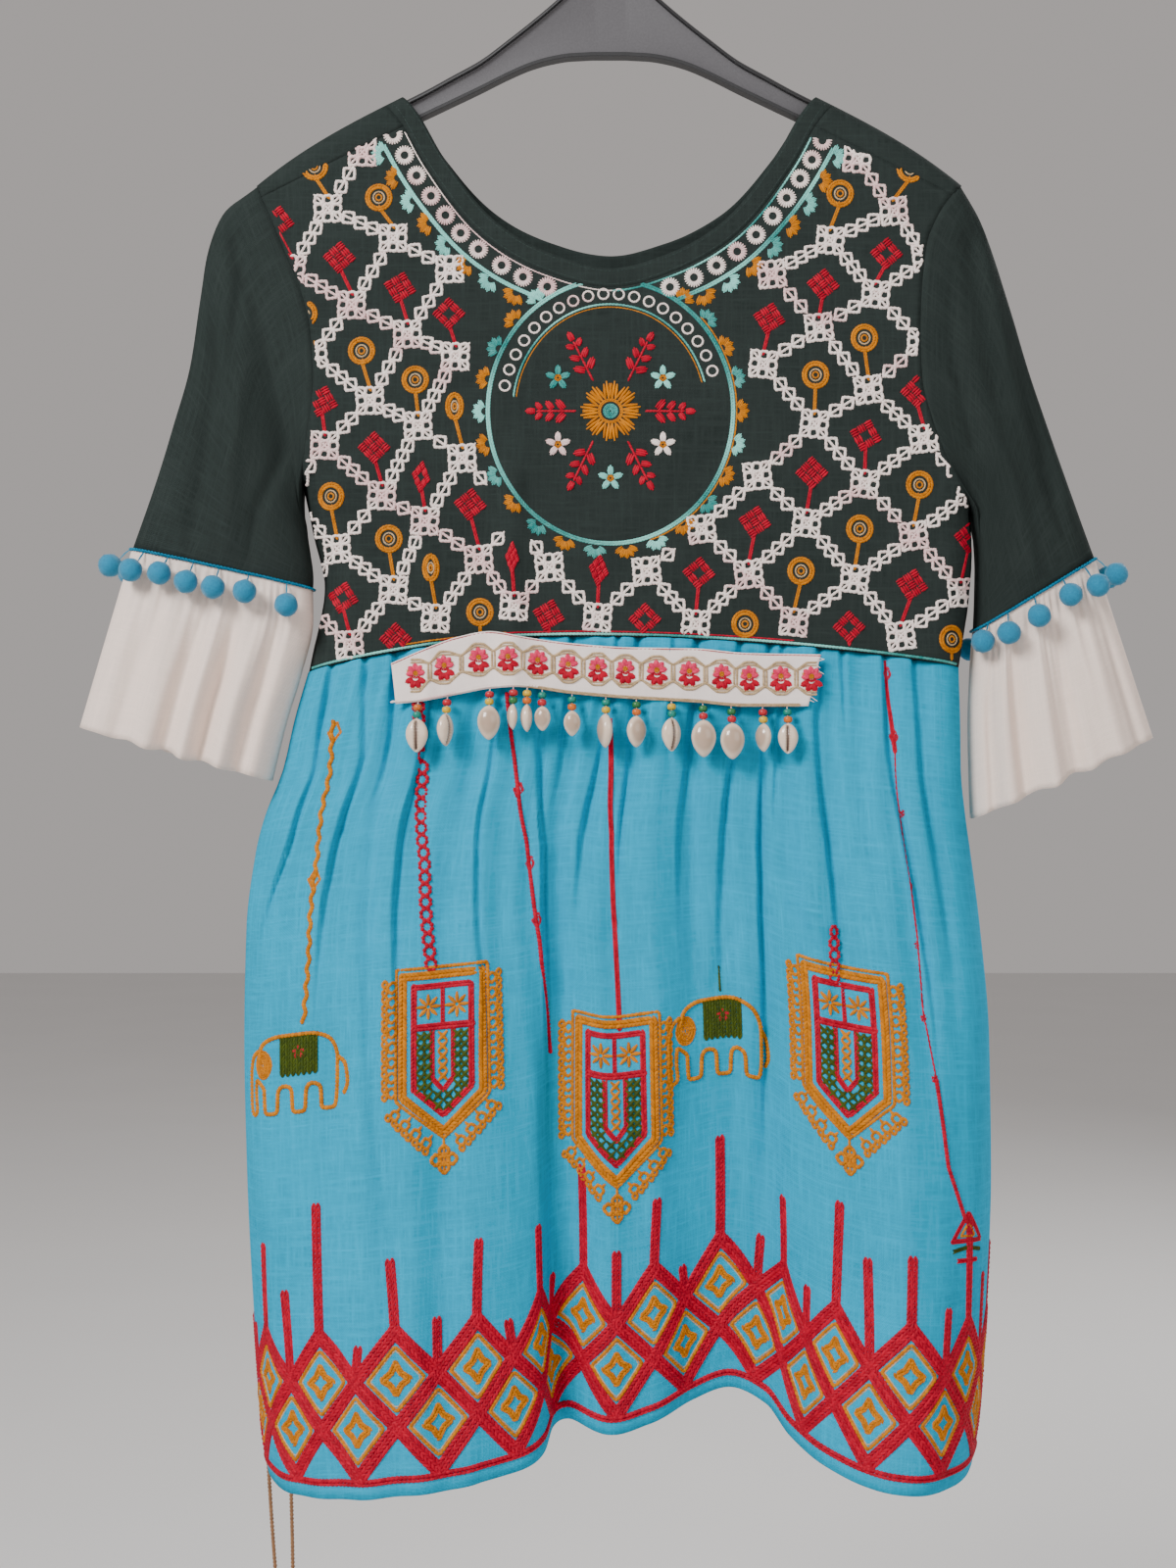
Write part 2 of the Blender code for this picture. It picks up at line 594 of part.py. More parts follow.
def add_mesh(name, points, faces, material, hidden=False):
    """An object from millimetre points, with its faces turned outwards."""
    mesh = bpy.data.meshes.new(name)
    mesh.from_pydata((np.asarray(points) * MM).tolist(), [], faces)
    work = bmesh.new()
    work.from_mesh(mesh)
    bmesh.ops.recalc_face_normals(work, faces=work.faces)
    if work.calc_volume(signed=True) < 0:
        bmesh.ops.reverse_faces(work, faces=work.faces)
    work.to_mesh(mesh)
    work.free()
    mesh.shade_smooth()
    mesh.set_sharp_from_angle(angle=math.radians(40))
    obj = bpy.data.objects.new(name, mesh)
    obj.data.materials.append(finish(material))
    bpy.context.scene.collection.objects.link(obj)
    if hidden:
        obj.hide_render = True
        obj.display_type = "WIRE"
    return obj


def unite(obj, cutter):
    """Joins a hidden shape to an object with a Boolean."""
    union = obj.modifiers.new("union_" + cutter.name, "BOOLEAN")
    union.operation = "UNION"
    union.object = cutter


def tube(rings):
    """Points and faces of a closed tube through rings with equal numbers of points."""
    rings = np.array(rings)
    count, sides = rings.shape[:2]
    faces = []
    for i in range(count - 1):
        for j in range(sides):
            k = (j + 1) % sides
            faces.append([i * sides + j, i * sides + k, (i + 1) * sides + k, (i + 1) * sides + j])
    faces.append(list(range(sides))[::-1])
    faces.append([(count - 1) * sides + j for j in range(sides)])
    return rings.reshape(-1, 3), faces


def hanger_section(x, top, bottom):
    """One upright section of the hanger: a web between two rims, narrowed at the top."""
    rim = min(RIM, (top - bottom) / 3)
    half, web = ARM_DEPTH, WEB_HALF
    profile = [(half, bottom), (half, bottom + rim), (web, bottom + rim), (web, top - rim - 1),
               (half, top - rim - 1), (half, top - 2), (2.2, top)]
    mirrored = [(-y, z) for y, z in reversed(profile)]
    return [(x, y, z) for y, z in profile + mirrored]


def make_hanger():
    """The moulded hanger: arms with rimmed edges, a neck and a plain hook, all one piece."""
    stations = [(half, top, low) for half, top, low in HANGER_BODY]
    for half in ARM_STATIONS:
        share = (half - ARM_STATIONS[0]) / (ARM_STATIONS[-1] - ARM_STATIONS[0])
        top = float(ridge(half)) - UNDER_RIDGE
        height = ARM_HEIGHT[0] + (ARM_HEIGHT[1] - ARM_HEIGHT[0]) * share**2
        stations.append((half, top, top - height))
    left = [(-half, top, low) for half, top, low in reversed(stations[1:])]
    rings = [hanger_section(*row) for row in left + stations]
    hanger = add_mesh("hanger", *tube(rings), "black_plastic")
    radius = HOOK_INNER + HOOK_WIRE
    centre_z = -HOOK_INNER
    arc = [(radius * math.cos(a), centre_z + radius * math.sin(a))
           for a in np.radians(np.linspace(-25, 205, 13))]
    stem = [(0, -72), (0, -63), (0.5, -57), (5, -49), (12.5, -39)]
    line = along(stem + arc, np.linspace(0, 1, HOOK_POINTS))
    direction = np.gradient(line, axis=0)
    direction /= np.linalg.norm(direction, axis=1)[:, None]
    rings = []
    for (x, z), (dx, dz) in zip(line, direction):
        turn = np.linspace(0, 2 * math.pi, 10, endpoint=False)
        rings.append([(x + HOOK_WIRE * math.cos(a) * dz, HOOK_WIRE * math.sin(a),
                       z - HOOK_WIRE * math.cos(a) * dx) for a in turn])
    hook = add_mesh("hook_shape", *tube(rings), "black_plastic", hidden=True)
    unite(hanger, hook)


def make_bodice_and_sleeves():
    """Yoke panels, neck band and sleeves, cut from one welded skin."""
    skin = Skin()
    for side in ("front", "back"):
        grids = body_grids(side)
        for hand in ("left", "right"):
            skin.add("yoke_back", grids["over_" + hand])
            skin.add("yoke_" + side, grids["strip_" + hand])
            skin.add("neck_band", grids["band_" + hand])
        skin.add("yoke_" + side, grids["block"])
        skin.level(grids["block"][0])
    sleeves = {}
    for hand in ("left", "right"):
        grid = sleeve_grid(hand)
        sleeves[hand] = grid
        skin.add("sleeve_" + hand, grid, closed=True)
        skin.level(grid[-1], cuff_axis(hand, grid))
    body_names, sleeve_names = ("yoke_front", "yoke_back", "neck_band"), ("sleeve_left", "sleeve_right")
    for names, lean in ((body_names, 0.5), (sleeve_names, -0.5)):
        for sign, hand in ((-1, "left"), (1, "right")):
            x, z = ARMHOLE[hand][-1]
            skin.set_normal((x, 0, z), (sign * lean, 0, -0.87))
        for name in names:
            add_mesh(name, *skin.wall(name), "green_cotton")
    return sleeves


def cuff_axis(hand, grid):
    """Direction of the sleeve where it leaves the cuff, square to the cuff's seam."""
    half = grid.shape[1] // 2
    across = grid[-1, half] - grid[-1, 0]
    across[1] = 0
    axis = np.array([across[2], 0, -across[0]])
    axis *= -np.sign(axis[2]) / np.linalg.norm(axis)
    return axis


def make_frill(hand, sleeve):
    skin = Skin()
    axis = cuff_axis(hand, sleeve)
    cuff = sleeve[-1]
    grid = frill_grid(hand, cuff)
    skin.add("frill_" + hand, grid, closed=True)
    skin.level(grid[0], axis)
    add_mesh("frill_" + hand, *skin.wall("frill_" + hand), "cream_cotton")
    return grid


def doubled(ring):
    """A closed ring with a point added halfway along each of its runs."""
    more = np.empty((2 * len(ring), 3))
    more[0::2] = ring
    more[1::2] = (ring + np.roll(ring, -1, axis=0)) / 2
    return more


def ring_normals(ring, axis):
    """Outward directions round a closed ring, square to the axis at each point."""
    normal = unit(np.cross(np.roll(ring, -1, axis=0) - np.roll(ring, 1, axis=0), axis))
    if ((ring - ring.mean(axis=0)) * normal).sum() < 0:
        normal = -normal
    return normal


def pompom_rings(root, centre):
    """Rings of a thread and its ball, from the tape to the bottom of the ball."""
    axis = (centre - root) / np.linalg.norm(centre - root)
    side = np.cross(axis, (0, 1, 0))
    side /= np.linalg.norm(side)
    other = np.cross(axis, side)
    reach = np.linalg.norm(centre - root)
    stations = [(0, 0.8), (reach - 1.0 * POMPOM_RADIUS, 0.8)]
    for angle in (-45, 0, 45):
        a = math.radians(angle)
        stations.append((reach + POMPOM_RADIUS * math.sin(a), POMPOM_RADIUS * math.cos(a)))
    turn = np.linspace(0, 2 * math.pi, 6, endpoint=False)[:, None]
    return [root + axis * far + radius * (np.cos(turn) * side + np.sin(turn) * other)
            for far, radius in stations]


def make_pompoms(hand, sleeve, frill):
    """The narrow tape over the cuff seam, with its pompoms fused on by their threads."""
    cuff = sleeve[-1]
    count = len(cuff)
    up = unit(sleeve[-2] - cuff)
    down = unit(frill[1][::2] - cuff)
    up_normal, down_normal = ring_normals(cuff, up), ring_normals(cuff, down)
    middle = unit(up_normal + down_normal)
    near, far = SEAM_GAP, SEAM_GAP + TAPE_THICK
    rise, fall = up * TAPE_HEIGHT / 2, down * TAPE_HEIGHT / 2
    corners = [cuff + up_normal * near + rise, cuff + up_normal * far + rise, cuff + middle * far,
               cuff + down_normal * far + fall, cuff + down_normal * near + fall, cuff + middle * near]
    faces = []
    for j in range(count):
        k = (j + 1) % count
        for c in range(6):
            d = (c + 1) % 6
            faces.append([c * count + j, c * count + k, d * count + k, d * count + j])
    trim = add_mesh("pompom_trim_" + hand, np.concatenate(corners), faces, "blue_felt")
    runs = np.linalg.norm(np.roll(cuff, -1, axis=0) - cuff, axis=1)
    ends = np.concatenate([[0], np.cumsum(runs)])
    points, balls = [], []
    for n, share in enumerate(POMPOMS[hand]):
        j = int(np.searchsorted(ends, share * ends[-1])) - 1
        part = (share * ends[-1] - ends[j]) / runs[j]
        k = (j + 1) % count
        base, out, fall = [a[j] * (1 - part) + a[k] * part for a in (cuff, down_normal, down)]
        root = base + out * (near + TAPE_THICK / 2)
        drop = POMPOM_DROP + 1.5 * math.sin(2.3 * n)
        centre = base + out * (POMPOM_RADIUS + POMPOM_CLEAR) + fall * drop
        ring_points, ring_faces = tube(pompom_rings(root, centre))
        balls += [[f + len(points) for f in face] for face in ring_faces]
        points.extend(ring_points)
    shape = add_mesh("pompom_shapes_" + hand, points, balls, "blue_felt", hidden=True)
    unite(trim, shape)


def make_skirt():
    """The gathered skirt's front and back, sewn at the side folds and hung from the waist seam."""
    skin = Skin()
    for side, columns in (("front", 56), ("back", 34)):
        grid = skirt_grid(side, columns, SKIRT_ROWS)
        grid[0, :, 2] -= SEAM_GAP / 2
        skin.add("skirt_" + side, grid)
        skin.level(grid[0])
    for name in ("skirt_front", "skirt_back"):
        add_mesh(name, *skin.wall(name), "turquoise_cotton")


def front_of_skirt(x, z):
    """Half depth of the skirt's front, pleats left out, at a point near the waist."""
    sides = sorted(SKIRT_SIDES)
    left, right = smooth(sides, z, 1), smooth(sides, z, 2)
    share = (x - left) / (right - left)
    down = (waist(x) - z) / (waist(x) - smooth(HEM_FRONT, share, 2))
    hem_depth = smooth(HEM_FRONT, share, 1)
    return DEPTH["front"][1] + (hem_depth - DEPTH["front"][1]) * np.maximum(down, 0) ** LOBE_GROWTH


def surface_at(tree, x, z):
    """The outermost point behind (x, z) on the skirt's back, and the way that the cloth faces there."""
    point, normal = tree.ray_cast((x * MM, 0.3, z * MM), (0, -1, 0))[:2]
    return np.array(point) / MM, np.array(normal)


def ribbon_depth(x, z):
    """Half depth of the ribbon's face, clear of the gathers below the waist seam."""
    return front_of_skirt(x, z) - troughs("body", "front", x, np.full_like(x, -490.0)) + RIBBON_OFF


def make_ribbon():
    """The band of ribbon over the waist seam, a flat strip that follows the bodice."""
    x = np.linspace(RIBBON[0][0], RIBBON[-1][0], RIBBON_COLUMNS + 1)
    top, low = smooth(RIBBON, x, 1), smooth(RIBBON, x, 2)
    rows = []
    for share in (0.0, 0.5, 1.0):
        z = top + (low - top) * share
        rows.append(np.column_stack([x, -ribbon_depth(x, z), z]))
    skin = Skin()
    skin.add("ribbon", np.array(rows))
    add_mesh("ribbon", *skin.wall("ribbon", gap=0.0, thick=RIBBON_THICK), "ribbon")


def make_drops():
    """Cowrie shells under two beads each, threaded from the ribbon's lower edge."""
    for n, (x, turn, length) in enumerate(DROPS, 1):
        edge = float(smooth(RIBBON, x, 2)) - 2 * SEAM_GAP
        plane = float(ribbon_depth(np.array(float(x)), np.array(edge)))
        deep = float(front_of_skirt(np.array(float(x)), np.array(edge - 28.0)))
        width, thick = 0.33 * length, 0.22 * length
        start_y = -(plane - RIBBON_THICK / 2)
        end_y = -(deep + 3.4 + width + 0.6)
        spin = math.radians(turn)
        bead = BEAD_RADIUS
        second = BEAD_PITCH * 1.5 + 1
        top = second + BEAD_PITCH / 2
        stations = [(0, THREAD_RADIUS, THREAD_RADIUS), (BEAD_PITCH / 2 + 1, bead, bead),
                    (BEAD_PITCH + 1, 1.4, 1.4), (second, bead, bead), (top, 1.3, 1.3),
                    (top + 0.25 * length, 0.8 * width, 0.8 * thick), (top + 0.6 * length, width, thick),
                    (top + length, 0.4 * width, 0.4 * thick)]
        rings = []
        for far, wide, deep_half in stations:
            share = min(far / 10.0, 1.0)
            y = start_y + (end_y - start_y) * share
            ring = []
            for a in np.linspace(0, 2 * math.pi, DROP_SIDES, endpoint=False):
                across, depth = wide * math.cos(a), deep_half * math.sin(a)
                ring.append((x + across * math.cos(spin) - depth * math.sin(spin),
                             y + across * math.sin(spin) + depth * math.cos(spin), edge - far))
            rings.append(ring)
        add_mesh(f"cowrie_drop_{n:02d}", *tube(rings), "cowrie")


def make_ties():
    """Two tie cords sewn in at the waist, lying down the back of the skirt, with knotted ends."""
    mesh = bpy.data.objects["skirt_back"].data
    tree = BVHTree.FromPolygons([v.co for v in mesh.vertices], [p.vertices for p in mesh.polygons])
    for name, route in TIE_ROUTES.items():
        flat = along(route, np.linspace(0, 1, TIE_POINTS - 2))
        y = np.empty(len(flat))
        for n, (x, z) in enumerate(flat):
            beside = [surface_at(tree, x + step, max(z, TIE_HEM))[0][1] for step in (5, 9, 13)]
            y[n] = max(beside) + TIE_RADIUS + TIE_CLEAR
        level = np.convolve(np.pad(y, 2, mode="edge"), np.ones(5) / 5, mode="valid")
        line = np.column_stack([flat[:, 0], np.maximum(y, level), flat[:, 1]])
        root, out = surface_at(tree, *flat[0])
        start = [root + out * 0.15, root + out * 1.7, root + out * 2.9 + (0, 0, -1.7)]
        line = np.concatenate([start, line[1:]])

        curve = bpy.data.curves.new(name, "CURVE")
        curve.dimensions = "3D"
        spline = curve.splines.new("POLY")
        spline.points.add(len(line) - 1)
        for point, place in zip(spline.points, line * MM):
            point.co = (*place, 1)
        curve.bevel_depth = TIE_RADIUS * MM
        curve.bevel_resolution = 2
        curve.use_fill_caps = True
        cord = bpy.data.objects.new(name, curve)
        cord.data.materials.append(finish("tie_cord"))
        bpy.context.scene.collection.objects.link(cord)
        make_knot(name.replace("cord", "knot"), line[-1] - np.array([0, 0, SEAM_GAP]))


def make_knot(name, top):
    """The knot at a cord's end: a short barrel."""
    rings = []
    for drop, radius in ((0, 2.0), (1.5, 3.0), (5.0, 3.1), (7.0, 1.8)):
        rings.append([(top[0] + radius * math.cos(a), top[1] + radius * math.sin(a), top[2] - drop)
                      for a in np.linspace(0, 2 * math.pi, 8, endpoint=False)])
    add_mesh(name, *tube(rings), "tie_cord")


def main():
    for obj in list(bpy.data.objects):
        bpy.data.objects.remove(obj)
    make_hanger()
    sleeves = make_bodice_and_sleeves()
    for hand, grid in sleeves.items():
        frill = make_frill(hand, grid)
        make_pompoms(hand, grid, frill)
    make_skirt()
    make_ribbon()
    make_drops()
    make_ties()


main()
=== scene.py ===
"""The looks of an embroidered tunic on a hanger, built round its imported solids.

Tables and lengths are in millimetres unless a name says otherwise. The front faces -Y.
Points written as photo places are turned into the row frame by photo_point.
"""

import math

import bmesh
import bpy
import numpy as np
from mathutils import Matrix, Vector


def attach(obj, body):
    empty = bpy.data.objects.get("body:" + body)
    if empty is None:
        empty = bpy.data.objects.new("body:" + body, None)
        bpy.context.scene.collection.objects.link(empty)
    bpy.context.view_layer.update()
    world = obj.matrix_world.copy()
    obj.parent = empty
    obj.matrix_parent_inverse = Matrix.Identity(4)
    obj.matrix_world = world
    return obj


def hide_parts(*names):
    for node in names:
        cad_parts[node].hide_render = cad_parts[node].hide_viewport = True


bl_info = {
    "name": "Embroidered tunic",
    "version": (1, 0, 0),
    "blender": (4, 5, 0),
    "location": "View3D > Sidebar > Tunic",
    "description": "Builds the looks of a hung tunic round its packed solids",
    "category": "Object",
}

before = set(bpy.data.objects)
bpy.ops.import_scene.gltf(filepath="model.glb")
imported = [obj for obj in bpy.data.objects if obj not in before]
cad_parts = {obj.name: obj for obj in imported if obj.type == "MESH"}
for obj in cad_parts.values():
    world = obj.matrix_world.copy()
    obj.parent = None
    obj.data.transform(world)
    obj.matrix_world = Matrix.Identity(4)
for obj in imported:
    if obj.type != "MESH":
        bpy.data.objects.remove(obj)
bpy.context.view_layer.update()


def colour(name, description, default):
    return bpy.props.FloatVectorProperty(name=name, description=description, default=default,
                                         subtype="COLOR", size=3, min=0.0, max=1.0)


def length(name, description, default, low, high):
    return bpy.props.FloatProperty(name=name, description=description, default=default, min=low, max=high,
                                   subtype="DISTANCE", unit="LENGTH", precision=5)


def factor(name, description, default=1.0):
    return bpy.props.FloatProperty(name=name, description=description, default=default, min=0.0, max=2.0,
                                   subtype="FACTOR")


class TunicColours(bpy.types.PropertyGroup):
    """Colours of the cloths."""

    green: colour("Yoke and sleeves", "Colour of the dark cotton", (0.021, 0.028, 0.026))
    turquoise: colour("Skirt", "Colour of the skirt's cotton", (0.0, 0.335, 0.54))
    cream: colour("Frills", "Colour of the frills at the cuffs", (0.82, 0.68, 0.60))
    ribbon: colour("Ribbon", "Colour of the ribbon's ground", (0.82, 0.72, 0.68))


class TunicSizes(bpy.types.PropertyGroup):
    """Sizes that change the looks and leave the solids' outline."""

    wall: length("Cloth thickness", "Thickness of the cotton", 0.0009, 0.0003, 0.0015)
    pitch: length("Thread pitch", "Distance between two threads of the cotton", 0.00075, 0.0003, 0.003)
    pompom: length("Pompom radius", "Radius of a felt pompom", 0.0076, 0.003, 0.009)
    bead: length("Bead radius", "Radius of the beads above the shells", 0.00275, 0.001, 0.0035)
    stitch: factor("Stitch width", "Width of the stitches against the real ones")
    pleats: factor("Skirt folds", "Depth of the skirt's pleats and folds against the real ones")
    frills: factor("Frill folds", "Depth of the frills' soft folds against the real ones")


def sizes():
    return bpy.context.scene.tunic_sizes


MM = 0.001
PHOTO_SCALE = 0.615
PHOTO_ZERO = (622.0, -90.0)

PHOTO_MIDDLE = (600.0, 800.0)

# The camera's place in metres, and the distance at which the photo's scale holds
CAMERA_PLACE = (-0.0135, -1.29, -0.582)
PHOTO_DISTANCE = 1270.0
SENSOR = 36

# Half outline and depth of the bodice, as the solids have them
NECK_HALF = 132.0
RIDGE_TOP = -145.3
RIDGE_SLOPE = 0.5
RIDGE_DROOP = 1.35e-5
RIDGE_COSINE = 0.87
RIDGE_ROUND = 13.0
SIDE_ROUND = 24.0
DEPTH = {"front": (15.0, 22.0), "back": (13.0, 18.0)}
BACK_NECK_SHARE = 0.856
BAND_WIDTH = 12.0
NECK_CURVE = [(132, -145.3), (120, -160.5), (104, -188), (71, -228.5), (36, -249), (0, -258)]
ARMHOLE = {
    "left": [
        (-224, -201.8), (-213, -226), (-203, -250), (-194, -272), (-187.5, -300), (-186, -327),
        (-188.5, -355), (-192.5, -380), (-194.3, -395.4)],
    "right": [
        (224, -201.8), (208, -222), (199, -245), (196, -275), (195, -302), (196, -327), (202, -352),
        (211, -376), (222, -396), (230, -410.7)],
}
SIDE_SEAM = {
    "left": [
        (-194.3, -395.4), (-188, -425), (-181, -458), (-184, -478), (-188, -495), (-191.5, -511.4)],
    "right": [
        (230, -410.7), (231, -435), (229, -465), (225.5, -490), (222.6, -508.4)],
}
WAIST_TOP = -489.5
WAIST_MIDDLE = -20.0
WAIST_DROP = {"left": (22.0, 172.0), "right": (19.0, 243.0)}
OVER_NECK = 20.0
OVER_ARMHOLE = 12.0
SPLIT_NECK = 0.425
SPLIT_ARMHOLE = 0.25

# Sleeves and frills
SLEEVE_OUTER = {
    "left": [
        (-224, -201.8), (-246, -219), (-256.5, -248), (-260, -275), (-266, -317), (-277, -357),
        (-289, -397), (-302, -434)],
    "right": [
        (224, -201.8), (236, -222), (247, -251), (256, -280), (267, -317), (281, -357), (295, -397),
        (310, -438)],
}
CUFF_INNER_Z = {"left": -459.0, "right": -484.5}
SLEEVE_STEPS = (0, 0.3, 0.44, 0.57, 0.69, 0.8, 0.9, 1)
SLEEVE_CLEAR = (2.5, 0.6)
SLEEVE_HALF_DEPTH = (17.0, 20.0)
SLEEVE_BLEND = 1.15
CUFF_FORWARD = {"left": -8.0, "right": 6.0}
SQUARENESS = 2.8
FRILL_OUTER = {"left": (-334.5, -546.0), "right": (347.0, -552.0)}
FRILL_INNER = {
    "left": [
        (-187.5, -478), (-195.5, -514), (-204, -541.7), (-213.5, -580)],
    "right": [
        (231, -514), (230, -545), (230.5, -575), (231.5, -604)],
}
FRILL_HALF_DEPTH = 24.0
FRILL_WAVES = 10
FRILL_WAVE = 2.6
# Soft folds of each frill: place around it, width, and how far out at the hem
FRILL_FOLDS = {
    "left": [
        (0.05, 0.03, 3.5), (0.105, 0.02, -3.5), (0.165, 0.035, 3.5), (0.225, 0.018, -4.5),
        (0.275, 0.018, 3.5), (0.318, 0.016, -7.5), (0.372, 0.024, 6.0), (0.418, 0.015, -5.0),
        (0.46, 0.02, 3.0), (0.57, 0.035, 5.0), (0.65, 0.025, -6.0), (0.72, 0.03, 6.5), (0.8, 0.022, -5.5),
        (0.88, 0.03, 5.0), (0.95, 0.02, -3.0)],
    "right": [
        (0.05, 0.014, -3.5), (0.12, 0.045, 5.0), (0.215, 0.02, -4.5), (0.29, 0.035, 4.5),
        (0.365, 0.018, -5.5), (0.41, 0.02, 3.5), (0.447, 0.015, -5.0), (0.56, 0.03, 5.0),
        (0.64, 0.022, -6.0), (0.73, 0.035, 6.0), (0.82, 0.022, -5.5), (0.9, 0.03, 5.0)],
}

# Skirt: columns z, left x, right x; then share, half depth and height of the hem
SKIRT_SIDES = [
    (-508, -191.0, 222.6), (-541, -200.5, 223.6), (-573, -207.9, 224.0), (-603, -219.5, 226.9),
    (-625, -225.1, 230.0), (-674, -231.2, 236.2), (-742, -232.5, 241.7), (-828, -230.6, 242.9),
    (-914, -226.3, 239.5), (-988, -220.8, 233.7), (-1020, -216.5, 229.0)]
HEM = {
    "front": [
        (0.0, 30, -1017), (0.06, 58, -1015), (0.12, 78, -1011), (0.2, 88, -1006), (0.28, 84, -1003),
        (0.34, 70, -998), (0.385, 50, -991), (0.415, 26, -984), (0.45, 24, -979), (0.49, 38, -985),
        (0.54, 32, -980), (0.6, 16, -970), (0.65, 10, -963), (0.7, 20, -971), (0.73, 38, -985),
        (0.77, 62, -995), (0.82, 80, -1002), (0.87, 88, -1005), (0.92, 78, -1007), (0.97, 54, -1008),
        (1.0, 30, -1009)],
    "back": [
        (0.0, 24, -1017), (0.14, 44, -1000), (0.27, 26, -984), (0.4, 42, -970), (0.52, 30, -962),
        (0.65, 46, -955), (0.78, 26, -966), (0.9, 42, -990), (1.0, 24, -1009)],
}
LOBE_GROWTH = 1.25
FOLD_PLACE = 0.405
FOLD_SPAN = 0.09
FOLD_REACH = 9.0
# Knife pleats: their edge as (down, share) from the waist to the end, and how far it stands out
PLEATS = [
    ([(0, 0.035), (0.13, 0.05), (0.22, 0.052), (0.39, 0.014), (0.44, 0.0)], 3.4),
    ([(0, 0.085), (0.12, 0.117), (0.22, 0.115), (0.33, 0.109), (0.5, 0.1)], 3.2),
    ([(0, 0.13), (0.1, 0.15), (0.22, 0.15)], 2.6),
    ([(0, 0.19), (0.12, 0.2), (0.38, 0.208), (0.62, 0.215)], 3.0),
    ([(0, 0.3), (0.2, 0.305), (0.4, 0.32), (0.6, 0.33)], 2.5),
    ([(0, 0.345), (0.08, 0.353), (0.26, 0.4), (0.38, 0.405), (0.8, 0.41)], 4.0),
    ([(0, 0.4), (0.24, 0.408)], 2.4),
    ([(0, 0.47), (0.1, 0.466), (0.26, 0.455), (0.42, 0.45)], 3.0),
    ([(0, 0.5), (0.2, 0.505), (0.4, 0.505)], 2.8),
    ([(0, 0.555), (0.18, 0.56)], 2.5),
    ([(0, 0.59), (0.14, 0.59), (0.42, 0.585)], 2.8),
    ([(0, 0.655), (0.14, 0.655), (0.38, 0.64), (0.52, 0.64)], 3.4),
    ([(0, 0.7), (0.24, 0.7), (0.4, 0.695), (0.75, 0.69)], 3.6),
    ([(0, 0.72), (0.28, 0.72)], 2.3),
    ([(0, 0.775), (0.1, 0.775), (0.23, 0.79), (0.35, 0.795), (0.52, 0.8)], 3.2),
    ([(0, 0.81), (0.12, 0.82)], 2.2),
    ([(0, 0.875), (0.1, 0.88), (0.2, 0.895), (0.4, 0.91), (0.58, 0.915)], 3.2),
    ([(0, 0.92), (0.15, 0.93), (0.42, 0.945)], 2.6),
]
PLEAT_RUN = 14.0
PLEAT_STAND = 1.5
PLEAT_GROOVE = 2.7
# Short slanting creases of the skirt's front as (share, down), with their depth
CREASES = [
    ([(0.33, 0.22), (0.37, 0.27), (0.405, 0.34)], 1.3), ([(0.09, 0.225), (0.165, 0.2)], 1.2),
    ([(0.7, 0.26), (0.735, 0.32), (0.77, 0.38)], 1.6), ([(0.8, 0.29), (0.84, 0.34), (0.9, 0.36)], 1.3),
    ([(0.61, 0.2), (0.68, 0.24)], 1.1), ([(0.17, 0.25), (0.25, 0.29)], 1.0),
    ([(0.48, 0.4), (0.53, 0.33)], 1.1), ([(0.63, 0.46), (0.67, 0.37)], 1.4),
    ([(0.9, 0.42), (0.96, 0.37)], 1.2), ([(0.13, 0.5), (0.21, 0.47)], 1.0)]
# Long folds of the skirt, columns share at the top and end, down at the top and end, width and depth
FOLDS = {
    "front": [
        (0.05, 0.0, 0.02, 0.5, 8, 4.1), (0.147, 0.205, 0.0, 0.78, 6, 4.3), (0.2, 0.255, 0.0, 0.42, 7, 3.2),
        (0.26, 0.31, 0.0, 0.34, 6, 3.0), (0.33, 0.355, 0.0, 0.55, 7, 3.5), (0.375, 0.4, 0.0, 0.7, 8, 4.6),
        (0.42, 0.43, 0.0, 0.8, 8, 5.4), (0.46, 0.465, 0.0, 0.45, 6, 4.1), (0.5, 0.5, 0.0, 0.6, 7, 4.3),
        (0.55, 0.545, 0.12, 0.9, 10, -4.7), (0.6, 0.605, 0.0, 0.55, 7, 4.6),
        (0.655, 0.655, 0.0, 0.95, 9, 4.1), (0.7, 0.69, 0.0, 1.1, 9, 6.8), (0.745, 0.735, 0.0, 0.5, 6, 3.8),
        (0.79, 0.8, 0.0, 0.65, 8, 3.8), (0.84, 0.865, 0.0, 0.4, 6, 3.2), (0.885, 0.905, 0.0, 0.75, 9, 4.1),
        (0.935, 0.95, 0.0, 0.55, 7, 3.5), (0.12, 0.1, 0.45, 1.1, 16, 4.7), (0.27, 0.29, 0.5, 1.1, 15, 5.4),
        (0.83, 0.82, 0.5, 1.1, 15, 4.9), (0.94, 0.93, 0.55, 1.1, 12, 4.1)],
    "back": [
        (0.08, 0.05, 0.0, 0.6, 8, 4.0), (0.2, 0.22, 0.0, 0.9, 9, 5.0), (0.31, 0.33, 0.0, 0.5, 7, 3.8),
        (0.42, 0.41, 0.0, 0.8, 9, 4.6), (0.5, 0.52, 0.0, 0.6, 8, 4.2), (0.6, 0.58, 0.0, 0.5, 7, 3.8),
        (0.7, 0.72, 0.0, 0.95, 10, 5.2), (0.82, 0.8, 0.0, 0.6, 8, 4.0), (0.92, 0.94, 0.0, 0.5, 7, 3.4)],
}

